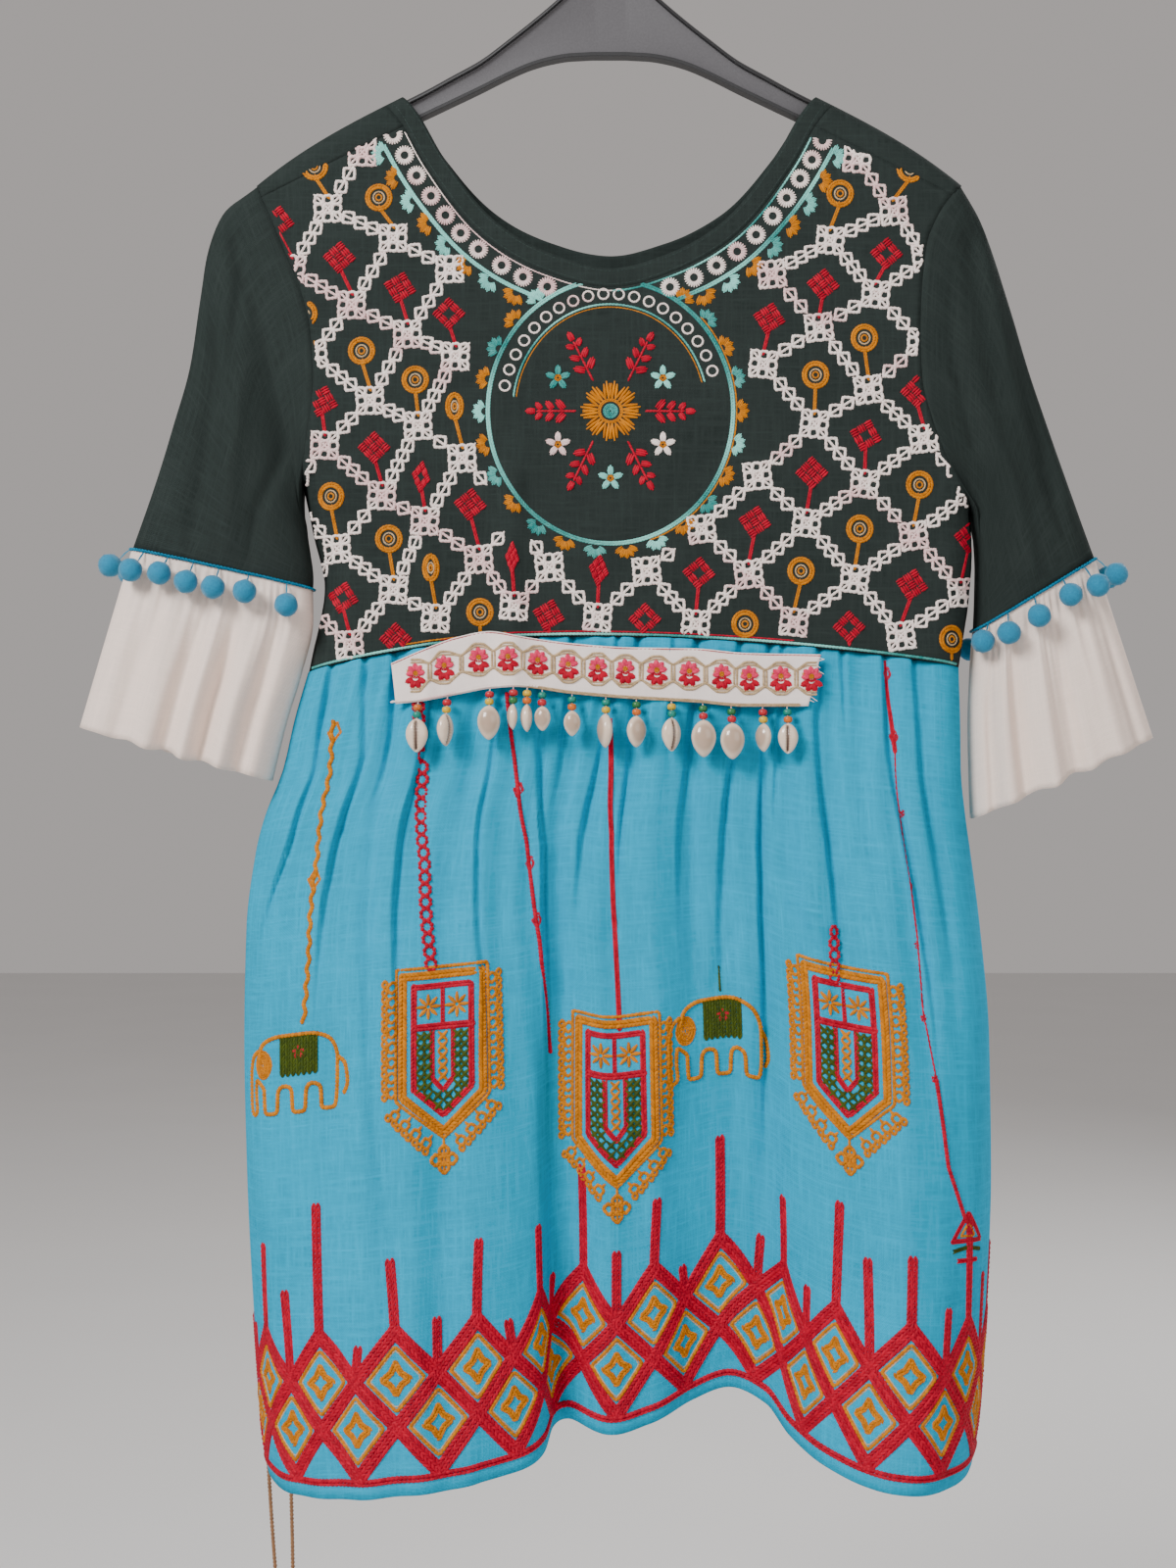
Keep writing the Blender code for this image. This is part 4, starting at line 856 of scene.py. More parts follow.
# Grained finishes: dark and light tone, roughness, grain for each metre, relief, sheen
GRAINS = {
    "black plastic": ((0.014, 0.014, 0.015), (0.024, 0.024, 0.026), 0.42, 400.0, 0.05, 0.0),
    "grey plastic": ((0.06, 0.057, 0.062), (0.09, 0.086, 0.092), 0.6, 700.0, 0.15, 0.0),
    "blue felt": ((0.0, 0.12, 0.23), (0.0, 0.24, 0.41), 0.95, 900.0, 1.0, 0.25),
    "twisted cord": ((0.10, 0.035, 0.01), (0.36, 0.17, 0.06), 0.7, 300.0, 0.4, 0.2),
    "pale floor": ((0.70, 0.69, 0.68), (0.74, 0.73, 0.72), 0.8, 3.0, 0.0, 0.0),
}
GRAINS.update({"bead " + colour: ([c * 0.75 for c in tint], tint, 0.35, 500.0, 0.1, 0.0)
               for colour, tint in BEADS.items()})


def weave_cloth(tree, shader, setting, roughness, pitch, bump, spread):
    """Woven cloth in the colour of a setting."""
    colour = getattr(bpy.context.scene.tunic_colours, setting)
    shader.inputs["Roughness"].default_value = roughness
    shader.inputs["Specular IOR Level"].default_value = 0.05
    place = tree.nodes.new("ShaderNodeUVMap")
    place.uv_map = "weave"
    weave = place_group(tree, "plain weave", Place=place.outputs[0], Pitch=sizes().pitch * pitch)
    tones = [(*[min(c * f, 1) for c in colour], 1) for f in (1 - spread, 1 + spread)]
    # The base colour follows the weave's shade, which includes the painted shade between the threads
    tree.links.new(blend(tree, weave["Shade"], *tones), shader.inputs["Base Color"])
    relief(tree, shader, weave["Height"], bump, 0.0004)


def dye_thread(tree, shader, dark, light):
    """Silky thread."""
    shader.inputs["Roughness"].default_value = 0.55
    shader.inputs["Specular IOR Level"].default_value = 0.15
    dye = place_group(tree, "dyed thread", Tone=mark(tree, "tone"), Place=object_place(tree),
                      Dark=(*dark, 1), Light=(*light, 1))
    tree.links.new(dye["Colour"], shader.inputs["Base Color"])


def polish_shell(tree, shader):
    """Glossy shell: painted shade makes its slit a near-black brown, for the shade of the shell's opening,
    and it is greyer on its dome.
    """
    shader.inputs["Roughness"].default_value = 0.22
    shader.inputs["Coat Weight"].default_value = 0.4
    grain = place_group(tree, "grain", Place=object_place(tree), Scale=160.0, Dark=(0.64, 0.47, 0.34, 1),
                        Light=(0.80, 0.66, 0.53, 1))
    dome = blend(tree, mark(tree, "dome"), grain["Colour"], (0.42, 0.30, 0.22, 1))
    # The tone mark paints shade: near-black brown in the slit and in stripes along its teeth, for the shade
    # of the shell's opening
    tone = blend(tree, mark(tree, "tone"), (0.05, 0.012, 0.006, 1), dome)
    tree.links.new(tone, shader.inputs["Base Color"])


def grain_finish(tree, shader, dark, light, roughness, scale, bump, sheen):
    """Plastic, felt, cord or bead with a fine grain."""
    shader.inputs["Roughness"].default_value = roughness
    shader.inputs["Sheen Weight"].default_value = sheen
    grain = place_group(tree, "grain", Place=object_place(tree), Scale=scale, Dark=(*dark, 1),
                        Light=(*light, 1))
    tree.links.new(grain["Colour"], shader.inputs["Base Color"])
    if bump:
        relief(tree, shader, grain["Height"], bump, 0.0003)


def material(name):
    """The named finish, made when it is first asked for."""
    found = bpy.data.materials.get(name)
    if found:
        return found
    found = bpy.data.materials.new(name)
    found.use_nodes = True
    tree = found.node_tree
    shader = tree.nodes["Principled BSDF"]
    if name in CLOTHS:
        weave_cloth(tree, shader, *CLOTHS[name])
    elif name.startswith("thread "):
        dye_thread(tree, shader, *THREADS[name[7:]])
    elif name == "cowrie shell":
        polish_shell(tree, shader)
    else:
        grain_finish(tree, shader, *GRAINS[name])
    return found


def flat_uv(grid):
    """Material coordinates of a grid in millimetres, by mean distance along its rows and columns."""
    u, v = running(steps_of(grid, 1).mean(axis=0)), running(steps_of(grid).mean(axis=1))
    return stack(u[None], -v[:, None])


def build_yoke():
    """The front and the back of the yoke; the back wraps over the shoulders."""
    front = body_grids("front")
    for side, facing in (("front", -1), ("back", 1)):
        found = body_grids(side)
        grids = [found[n] for n in ("block", "strip_left", "strip_right")]
        if side == "back":
            grids += [g["over_" + hand] for g in (found, front) for hand in ("left", "right")]
        cloth("yoke_" + side, grids, facing, "green cotton", "green_cotton")


# Embroidery, in photo places unless said otherwise
LATTICE_NODES = [
    (334, 211), (401, 242), (369, 153), (459, 274), (359, 311), (416, 341), (465, 364), (378, 409),
    (332, 455), (427, 435), (390, 506), (472, 468), (434, 532), (344, 560), (402, 602), (357, 658),
    (445, 631), (489, 571), (525, 619), (561, 579), (610, 630), (660, 583), (710, 637), (913, 214),
    (848, 244), (788, 279), (894, 300), (836, 334), (779, 372), (886, 398), (831, 433), (942, 448),
    (882, 494), (773, 486), (823, 534), (932, 547), (991, 502), (764, 586), (872, 591), (982, 604),
    (810, 635), (919, 649), (297, 273), (320, 362), (292, 508), (302, 608), (528, 530), (716, 540),
    (876, 160), (946, 262), (940, 350)]
RED_FLOWERS = [
    (283, 225), (346, 262), (408, 293), (458, 320), (329, 410), (382, 457), (430, 487), (480, 515),
    (523, 570), (350, 610), (404, 652), (560, 628), (658, 632), (611, 582), (840, 290), (905, 258),
    (785, 325), (935, 400), (883, 445), (828, 483), (770, 533), (713, 585), (990, 548), (930, 597),
    (866, 640)]
GOLD_FLOWERS = [
    (320, 168), (386, 200), (310, 320), (369, 358), (424, 388), (464, 415), (338, 507), (397, 550),
    (440, 580), (490, 625), (858, 196), (930, 170), (882, 345), (832, 383), (938, 495), (877, 540),
    (817, 583), (760, 637), (972, 652)]
SQUEEZED = {(430, 487): 0.55, (440, 580): 0.55, (523, 570): 0.4, (464, 415): 0.6, (611, 582): 0.6}
NECK_RINGS = [
    (408, 131), (418, 153), (431, 173), (446, 193), (462, 211), (480, 226), (498, 241), (519, 256),
    (539, 270), (561, 283), (682, 289), (705, 278), (727, 265), (747, 250), (766, 234), (784, 216),
    (798, 197), (813, 178), (824, 158), (834, 138)]
RING_OFF = 20.6
NECK_CORDS = ([(400, 141), (415, 174), (441, 210), (484, 248), (522, 276), (553, 297)],
              [(843, 146), (829, 180), (802, 216), (760, 254), (721, 282), (693, 302)])
SHOULDER_SEAM = [(263, 194), (302, 172), (331, 162), (396, 129), (845, 135), (971, 189)]
MEDALLION = (623, 420, 125, 135)
NECK_CENTRE = (0.0, -150.0)


class Needle:
    """Collects stitches in millimetres for one panel, then sews them as one mesh for each colour."""

    def __init__(self, lay, keep=None, *, seed):
        self.lay = lay
        self.keep = keep
        self.rng = np.random.RandomState(seed)
        self.sets = {}

    def add(self, colour, start, end, normal, width, rise, tone=None):
        start, end, normal = [np.atleast_2d(a) for a in (start, end, normal)]
        if tone is None:
            tone = self.rng.uniform(0.25, 0.9, len(start))
        measures = [np.broadcast_to(value, len(start)) for value in (width, rise, tone)]
        row = np.column_stack([start, end, normal, *measures])
        if self.keep is not None:
            row = row[self.keep(start) & self.keep(end)]
        self.sets.setdefault(colour, []).append(row)

    def walk(self, line, pitch, closed=False):
        """Even steps along a pattern line laid on the cloth: places, normals, directions and sides."""
        line = np.asarray(line, float)
        if closed:
            line = np.concatenate([line, line[:1]])
        eighths = np.linspace(0, 1, 9)[:-1, None]
        fine = np.concatenate([a + (b - a) * eighths for a, b in zip(line, line[1:])] + [line[-1:]])
        points, normals = self.lay(fine)
        lengths = running(steps_of(points))
        at = np.linspace(0, lengths[-1], max(2, int(round(lengths[-1] / pitch)) + 1))
        places, normals = [stack(*[np.interp(at, lengths, column) for column in rows.T])
                           for rows in (points, normals)]
        normals, ways = unit(normals), unit(np.gradient(places, axis=0))
        return places, normals, ways, unit(np.cross(normals, ways))

    def tones(self, colour, places):
        """Uneven tone along a thread; teal is dyed in long runs, and white is stained in places."""
        base = self.rng.uniform(0.3, 0.85, len(places))
        if colour == "teal":
            wave = 0.5 + 0.5 * np.sin(places[:, 0] * 0.047 + places[:, 2] * 0.061 + 1.3)
            return np.clip(0.75 * wave + 0.3 * base - 0.05, 0, 1)
        if colour == "white":
            stain = ease((np.sin(places[:, 0] * 0.043 + places[:, 2] * 0.061 + 0.7) - 0.7) / 0.3)
            return np.clip(0.4 * base + 0.62 - 0.45 * stain, 0, 1)
        return base

    def rope(self, colour, line, width, pitch, closed=False):
        """Stem stitch: short stitches that overlap at a slant."""
        at, normal, way, side = self.walk(line, pitch, closed)
        start = at[:-1] - way[:-1] * 0.3 - side[:-1] * width * 0.16
        end = at[1:] + way[1:] * 0.5 + side[1:] * width * 0.16
        self.add(colour, start, end, normal[:-1], width, 0.5, self.tones(colour, at[:-1]))

    def braid(self, colour, line, width, pitch, closed=False):
        """Thick chain stitch: pairs of stitches slanting in to the middle."""
        at, normal, way, side = self.walk(line, pitch, closed)
        for hand in (-1, 1):
            start = at + hand * side * width * 0.36 - way * pitch * 0.5
            end = at + way * pitch * 1.05 + hand * side * width * 0.04
            self.add(colour, start, end, normal, width * 0.44, 0.55, self.tones(colour, at))

    def chain(self, colour, line, width, pitch, thick):
        """Open chain stitch: a row of loops."""
        at, normal, way, side = self.walk(line, pitch)
        run = (at[1:] - at[:-1]) / 2
        for hand in (-1, 1):
            middle = at[:-1] + run + hand * side[:-1] * width / 2
            quarter = at[:-1] + run * 0.35 + hand * side[:-1] * width * 0.4
            beyond = at[:-1] + run * 1.65 + hand * side[:-1] * width * 0.4
            for a, b in ((at[:-1], quarter), (quarter, middle), (middle, beyond), (beyond, at[1:])):
                self.add(colour, a, b, normal[:-1], thick, 0.5, self.tones(colour, at[:-1]))

    def bars(self, colour, starts, ends, width, rise=0.6):
        """Straight stitches between pattern places."""
        (a, normal), (b, _) = [self.lay(np.asarray(v, float).reshape(-1, 2)) for v in (starts, ends)]
        self.add(colour, a, b, normal, width, rise, self.tones(colour, a))

    def ring(self, colour, centre, inner, outer, count, width):
        """A satin ring of stitches that run outwards."""
        way = heading(round_turns(count) + self.rng.uniform(0, 1))
        self.bars(colour, centre + way * inner, centre + way * outer, width, 0.75)

    def petals(self, colour, centre, turns, length, width, off, squeeze=1.0):
        """Loops that spread from a centre, each of three stitches."""
        for way in heading(np.radians(turns)) * (squeeze, 1):
            side = np.array([-way[1], way[0]])
            for s in (-0.32, 0.0, 0.32):
                start = centre + way * (off + 0.1 * length) + side * s * length * 0.5
                end = centre + way * (off + length * (1 - abs(s) * 0.4)) + side * s * length * 0.45
                self.bars(colour, start, end, width)

    def sew(self, name, slot):
        """One mesh for each colour."""
        made = []
        for colour, rows in self.sets.items():
            rows = np.concatenate(rows)
            start, end, normal, width, rise, tone = np.split(rows, (3, 6, 9, 10, 11), axis=1)
            way = unit(end - start)
            side = unit(np.cross(normal, way))
            up = unit(np.cross(way, side))
            rings = []
            for t, wide, lift in ((0.0, 0.5, -0.15), (0.5, 1.0, 0.0), (1.0, 0.5, -0.15)):
                middle = start + (end - start) * t + up * (lift - 0.1)
                w, h = width * wide / 2 * sizes().stitch, width * wide * rise
                rings += [middle - side * w, middle - side * w * 0.55 + up * h,
                          middle + side * w * 0.55 + up * h, middle + side * w]
            points = np.stack(rings, axis=1).reshape(-1, 3)
            faces = grid_faces(3, 4)[:, TURNED] + 12 * np.arange(len(rows))[:, None, None]
            faces = faces.reshape(-1, 4)
            obj = new_object(name + "_" + colour, points, faces, "thread " + colour, slot)
            mark_points(obj, "tone", np.repeat(tone[:, 0], 12))
            made.append(obj)
        return made


# The yoke's front is tabled at every millimetre from this corner up to the other one
YOKE_FROM = (-240, -520)
YOKE_TO = (240, -140)
YOKE_DEPTHS = -body_depth("front", *np.meshgrid(*[np.arange(a, b + 1.0) for a, b in zip(YOKE_FROM, YOKE_TO)]))


def yoke_lay(flat):
    """Front view places in millimetres, laid on the front of the yoke."""
    x, z = flat[..., 0], flat[..., 1]
    j, i = [np.clip(v - a, 0, b - a - 1.001) for v, a, b in zip((x, z), YOKE_FROM, YOKE_TO)]
    b, a = j.astype(int), i.astype(int)
    corner = YOKE_DEPTHS[a, b]
    normal = unit(stack(YOKE_DEPTHS[a, b + 1] - corner, -1.0, YOKE_DEPTHS[a + 1, b] - corner))
    return stack(x, between_cells(YOKE_DEPTHS, i, j), z), normal


def on_yoke(points):
    """Which places lie on the embroidered part of the yoke's front."""
    x, z = points[:, 0], points[:, 2]
    inside = z > waist(x) + 1.5
    for hand, sign in (("left", -1), ("right", 1)):
        edge = np.array(sorted((b, a) for a, b in ARMHOLE[hand] + SIDE_SEAM[hand][1:]))
        inside &= sign * x < sign * np.interp(z, edge[:, 0], edge[:, 1]) - 1.5
    seam = np.column_stack(photo_point(*np.array(SHOULDER_SEAM, float).T))
    inside &= z < np.interp(x, seam[:, 0], seam[:, 1]) - 1
    return inside & (distance_to(NECK_PATH, x, z) > BAND_WIDTH + 0.5)


NECK_HALVES = np.array(NECK_CURVE, float) * (-1, 1), np.array(NECK_CURVE[-2::-1], float)
NECK_PATH = along(np.concatenate(NECK_HALVES), np.linspace(0, 1, 80))


def square(centre, half, turn):
    way, side = heading([turn, turn + math.pi / 2])
    return [centre + half * (a * way + b * side) for a, b in ((-1, -1), (1, -1), (1, 1), (-1, 1))]


def oval(centre, wide, high, count):
    return centre + heading(round_turns(count)) * (wide, high)


def off_neck(places, least):
    """Photo places as front view places, moved out to keep a least distance from the neck's edge."""
    found = np.column_stack(photo_point(*np.array(places, float).T))
    nearest = NECK_PATH[np.hypot(*(found[:, None] - NECK_PATH[None]).T).T.argmin(axis=1)]
    away = found - nearest
    far = np.hypot(*away.T)[:, None]
    return nearest + away / far * np.maximum(far, least)


def clear_of_pattern(place, margin):
    """Whether a lattice place is clear of the medallion and of the neck's rings."""
    reach = (np.array(MEDALLION[2:]) + margin) * PHOTO_SCALE
    if np.hypot(*((place - photo_point(*MEDALLION[:2])) / reach)) < 1:
        return False
    return np.hypot(*(off_neck(NECK_RINGS, RING_OFF) - place).T).min() > 17


def sew_lattice(needle):
    """White openwork squares in a lattice over the yoke."""
    nodes = [np.array(photo_point(*n)) for n in LATTICE_NODES]
    links = []
    for i, a in enumerate(nodes):
        for b in nodes[i + 1:]:
            wide, high = np.abs(b - a)
            if 26 < np.hypot(wide, high) < 55 and 0.25 < high / max(wide, 1e-6) < 2.6:
                links.append((a, b))
    for n, centre in enumerate(nodes):
        turn = 0.12 * math.sin(3.1 * n)
        if not clear_of_pattern(centre, 16):
            continue
        way, side = heading([turn, turn + math.pi / 2])
        for i in (-1, 0, 1):
            for j in (-1, 0, 1):
                lean = turn + 0.2 * math.sin(5 * i + 3 * j + n)
                rim = square(centre + 5.5 * (i * way + j * side), 2.7, lean)
                needle.rope("white", rim, 2.3, 2.3, True)
        box = square(centre, 8.6, turn)
        for a, b in ((0, 2), (1, 3)):
            needle.rope("white", [box[a], box[b]], 1.7, 2.4)
    for a, b in links:
        way = b - a
        length = np.hypot(*way)
        way = way / length
        free = length - 2 * min(9.4 / np.abs(way).max(), 12.5)
        count = max(1, int(round(free / 8.0)))
        for k in range(count):
            centre = a + way * (length / 2 + (k - (count - 1) / 2) * free / count)
            if clear_of_pattern(centre, 22):
                rim = square(centre, 3.4, 0.12 * math.sin(k + a[0]))
                needle.rope("white", rim, 2.2, 2.2, True)
                needle.rope("white", [centre - way * 5.6, centre + way * 5.6], 1.9, 2.4)


def sew_flowers(needle):
    """Red lozenge flowers and gold ring flowers on stems, one in each field of the lattice."""
    nodes = np.column_stack(photo_point(*np.array(LATTICE_NODES, float).T))
    for colour, places in (("red", RED_FLOWERS), ("gold", GOLD_FLOWERS)):
        for n, place in enumerate(places):
            centre = np.array(photo_point(*place))
            squeeze = SQUEEZED.get(place, 1.0)
            below = nodes[(nodes[:, 1] < centre[1] - 18) & (np.abs(nodes[:, 0] - centre[0]) < 14)]
            foot = centre + (0.6, -24.0)
            if len(below):
                nearest = below[np.hypot(*(below - centre).T).argmin()]
                if centre[1] - nearest[1] < 48:
                    foot = nearest + (0, 7.5)
            needle.braid(colour, [centre - (0, 6.0), foot], 2.7, 1.9)
            if colour == "red":
                turn = math.radians(38 + 8 * math.sin(2.7 * n))
                way, side = heading([turn, turn + math.pi / 2]) * (squeeze, 1)
                for i in (-1, 0, 1):
                    for j in (-1, 0, 1):
                        if i == j == 0 and n % 3 == 0:
                            continue
                        cell = (i * way + j * side) * 5.1 + centre
                        off, run = (way, side) if (i + j) % 2 else (side, way)
                        for k in (-1.6, 0, 1.6):
                            needle.bars("red", cell + off * k - run * 2.5, cell + off * k + run * 2.5, 1.9)
            else:
                needle.braid("gold", oval(centre, 7.0 * squeeze, 7.3, 24), 4.0, 1.8, True)
                needle.rope("zari", oval(centre, 3.6 * squeeze, 3.9, 12), 1.2, 2.0, True)
                needle.rope("gold", oval(centre, 2.0 * squeeze, 2.2, 8), 1.3, 1.6, True)


def sprig(needle, colour, root, way, size=1.0):
    """A small leaf with five lobes."""
    turn = math.degrees(math.atan2(way[1], way[0]))
    lobes = turn + np.array([-62, -30, 0, 30, 62])
    needle.petals(colour, root, lobes, 7.0 * size, 1.7 * size, 1.5)


def sew_neck(needle):
    """Satin rings between two cords round the neck, with leaves outside."""
    for place in off_neck(NECK_RINGS, RING_OFF):
        needle.ring("white", place, 2.5, 6.2, 22, 1.55)
    for places in NECK_CORDS:
        line = along(off_neck(places, RING_OFF + 8.6), np.linspace(0, 1, 16))
        needle.braid("teal", line, 3.2, 2.0)
        inwards = np.array(photo_point(623, 180))
        for n, place in enumerate(along(line, np.linspace(0.04, 0.9, 8))):
            way = unit(place - inwards)
            sprig(needle, ("teal", "gold")[n % 2], place + way * 2.5, way)
    inner = along(NECK_PATH, np.linspace(0.06, 0.94, 90))
    inner = inner + unit(inner - (0.0, -60.0))
    line = inner + unit(inner - NECK_CENTRE) * (BAND_WIDTH + 1.2)
    needle.rope("white", line[:46], 1.0, 2.6)
    needle.rope("teal", line[45:], 1.5, 2.4)


def sew_medallion(needle):
    """A ringed wreath: a rosette with leaf sprays and small flowers round it."""
    centre = np.array(photo_point(*MEDALLION[:2]))
    wide, high = np.array(MEDALLION[2:]) * PHOTO_SCALE
    needle.braid("teal", oval(centre, wide, high, 90), 3.3, 1.9, True)
    right = oval(centre, wide + 2.2, high + 2.2, 90)
    needle.rope("gold", np.concatenate([right[72:], right[:12]]), 1.2, 2.4)
    for n in range(26):
        turn = -83 + n * 360 / 26
        if not 62 < turn % 360 < 118:
            way = heading(math.radians(turn))
            sprig(needle, ("gold", "teal")[n % 2], centre + way * (wide + 2.0, high + 2.0), way, 0.95)
    for way in heading(np.radians(np.arange(20, 172, 8.2))):
        needle.rope("white", oval(centre + way * (wide - 9, high - 9), 3.5, 3.5, 10), 1.5, 1.9, True)
    for lap, colour, width in ((15.5, "teal", 1.5), (17.3, "gold", 0.9)):
        needle.rope(colour, oval(centre, wide - lap, high - lap, 90)[4:44], width, 2.2)
    for k in range(8):
        needle.petals("gold", centre, [k * 45 - 8, k * 45 + 8], 12.5, 2.1, 6.5)
    needle.braid("gold", oval(centre, 7.0, 7.0, 24), 2.4, 1.7, True)
    for radius in (1.6, 3.8):
        needle.braid("teal", oval(centre, radius, radius, 16), 2.4, 1.6, True)
    for k in range(6):
        spot = centre + heading(math.radians(k * 60 + 30)) * (38, 42)
        if k != 1:
            for p in range(5):
                needle.petals("white" if k % 2 else "teal", spot, [p * 72 + 18], 6.6, 2.2, 1.5)
            needle.braid("gold", oval(spot, 1.5, 1.5, 8), 1.9, 1.5, True)
        way = heading(math.radians(k * 60))
        root, tip = centre + way * 22, centre + way * (46, 50)
        needle.rope("red", [root, tip], 1.7, 2.2)
        for share in (0.25, 0.55, 0.85):
            spot = root + (tip - root) * share
            needle.petals("red", spot, [k * 60 - 50, k * 60 + 50], 9.5 - 4 * share, 2.2, 1.0)
        needle.petals("red", tip, [k * 60], 7.0, 2.3, 0.5)


def build_yoke_embroidery():
    needle = Needle(yoke_lay, on_yoke, seed=5)
    sew_lattice(needle)
    sew_flowers(needle)
    sew_neck(needle)
    sew_medallion(needle)
    needle.sew("yoke_stitches", "green_cotton")


class SkirtCloth:
    """Material coordinates on one side of the skirt: share of its width and share of its length."""

    def __init__(self, side, rows, columns):
        self.share = np.linspace(0, 1, columns)
        self.down = np.linspace(0, 1, rows)
        self.grid = skirt_point(side, self.share[None], self.down[:, None])
        across, along_thread = np.gradient(self.grid, axis=1), np.gradient(self.grid, axis=0)
        normal = unit(np.cross(across, along_thread))
        facing = -1 if side == "front" else 1
        self.normal = normal * np.sign((normal[..., 1] * facing).sum())
        self.arc = np.concatenate([np.zeros((rows, 1)), np.cumsum(steps_of(self.grid, 1), axis=1)], axis=1)
        self.length = steps_of(self.grid).sum(axis=0)

    def place(self, at):
        """Places and normals at rows of (share, down)."""
        at = np.asarray(at, float)
        i = np.clip(at[..., 1] * (len(self.down) - 1), 0, len(self.down) - 1.001)
        j = np.clip(at[..., 0] * (len(self.share) - 1), 0, len(self.share) - 1.001)
        return between_cells(self.grid, i, j), unit(between_cells(self.normal, i, j))

    def seen_at(self, px, py):
        """The share and length at which the stage's camera sees a place of the photo on this side."""
        away = self.grid - np.array(CAMERA_PLACE) / MM
        seen = away[..., [0, 2]] * (1, -1) * PHOTO_DISTANCE / away[..., 1:2] / PHOTO_SCALE + PHOTO_MIDDLE
        miss = np.hypot(seen[..., 0] - px, seen[..., 1] - py)
        i, j = np.unravel_index(miss.argmin(), miss.shape)
        return self.share[j], self.down[i]

    def patch(self, share, down):
        """A lay for patterns in millimetres round a place, with their own up along the thread."""
        row = int(round(down * (len(self.down) - 1)))
        arc = self.arc[row]
        zero = np.interp(share, self.share, arc)

        def lay(flat):
            s = np.interp(zero + flat[..., 0], arc, self.share)
            d = down - flat[..., 1] / np.interp(s, self.share, self.length)
            return self.place(stack(s, d))
        return lay

    def patch_at(self, place):
        """A lay for patterns round a place of the photo."""
        return self.patch(*self.seen_at(*place))


# Skirt patterns, in photo places
PENDANTS = [(452, 1080), (628, 1130), (863, 1082)]
ELEPHANTS = [(302, 1092, 1), (735, 1052, 1)]
BELL = (988, 1262)
# An elephant's body, head and tail in millimetres round its middle, each with its number of points
ELEPHANT_LINES = [
    ([(-27, 8), (-24, 17), (-12, 22), (8, 22), (22, 17), (27, 5), (27, -10), (25, -26), (17, -26), (16, -12),
      (10, -9), (7, -12), (6, -26), (-2, -26), (-3, -11), (-9, -9), (-12, -12), (-13, -26), (-21, -26),
      (-22, -10)], 90),
    ([(-22, -10), (-29, -4), (-30, -14), (-29, -24), (-33, -27), (-36, -20), (-36, -2), (-33, 10),
      (-27, 14)], 40),
    ([(27, 5), (33, 0), (35, -12), (32, -18)], 12),
]
# Hanging chains: the stitch, its colour, its line and its measures as the stitch takes them
CHAINS = [
    ("chain", "red", [(427, 700), (429, 760), (434, 880), (440, 990)], (6.6, 7.8, 3.0)),
    ("braid", "red", [(623, 735), (624, 850), (627, 950), (632, 1050)], (4.0, 1.9)),
    ("chain", "red", [(850, 945), (852, 972), (852, 1003)], (5.8, 6.8, 2.8)),
    ("rope", "red", [(517, 705), (526, 790), (538, 860), (550, 960), (562, 1075)], (3.2, 2.4)),
    ("braid", "red", [(903, 675), (907, 715), (913, 765)], (3.6, 1.9)),
    ("rope", "red", [(913, 765), (918, 830), (928, 900), (936, 960), (942, 1035), (955, 1100)], (1.4, 3.6)),
    ("rope", "red", [(955, 1100), (962, 1150), (968, 1190), (978, 1225), (986, 1245)], (3.2, 2.1)),
    ("rope", "olive", [(733, 985), (734, 1010)], (1.8, 2.1)),
]
WAVY_STRING = [(340, 735), (333, 800), (322, 890), (316, 960), (310, 1045)]
# Lozenges threaded on them: colour, size and places
LOZENGES = [
    ("gold", 6.5, [(341, 748), (321, 897)]),
    ("red", 4.2, [(530, 808), (541, 880), (548, 940), (905, 690), (912, 752)]),
    ("red", 1.6, [(920, 832), (929, 902), (936, 962), (943, 1037), (954, 1102)]),
]
SPIKE_TOPS = [
    (265, 1272), (300, 1322), (330, 1232), (360, 1378), (397, 1335), (448, 1388), (478, 1270), (528, 1347),
    (561, 1307), (578, 1205), (605, 1302), (623, 1281), (651, 1333), (690, 1300), (717, 1216), (754, 1255),
    (790, 1330), (818, 1310), (845, 1385), (880, 1285), (922, 1372), (960, 1342), (1002, 1305)]
HEM_TIP = (330, 1480)
HEM_PERIOD = 49.0
HEM_RISE = 28.0
HEM_LINE = 10.5


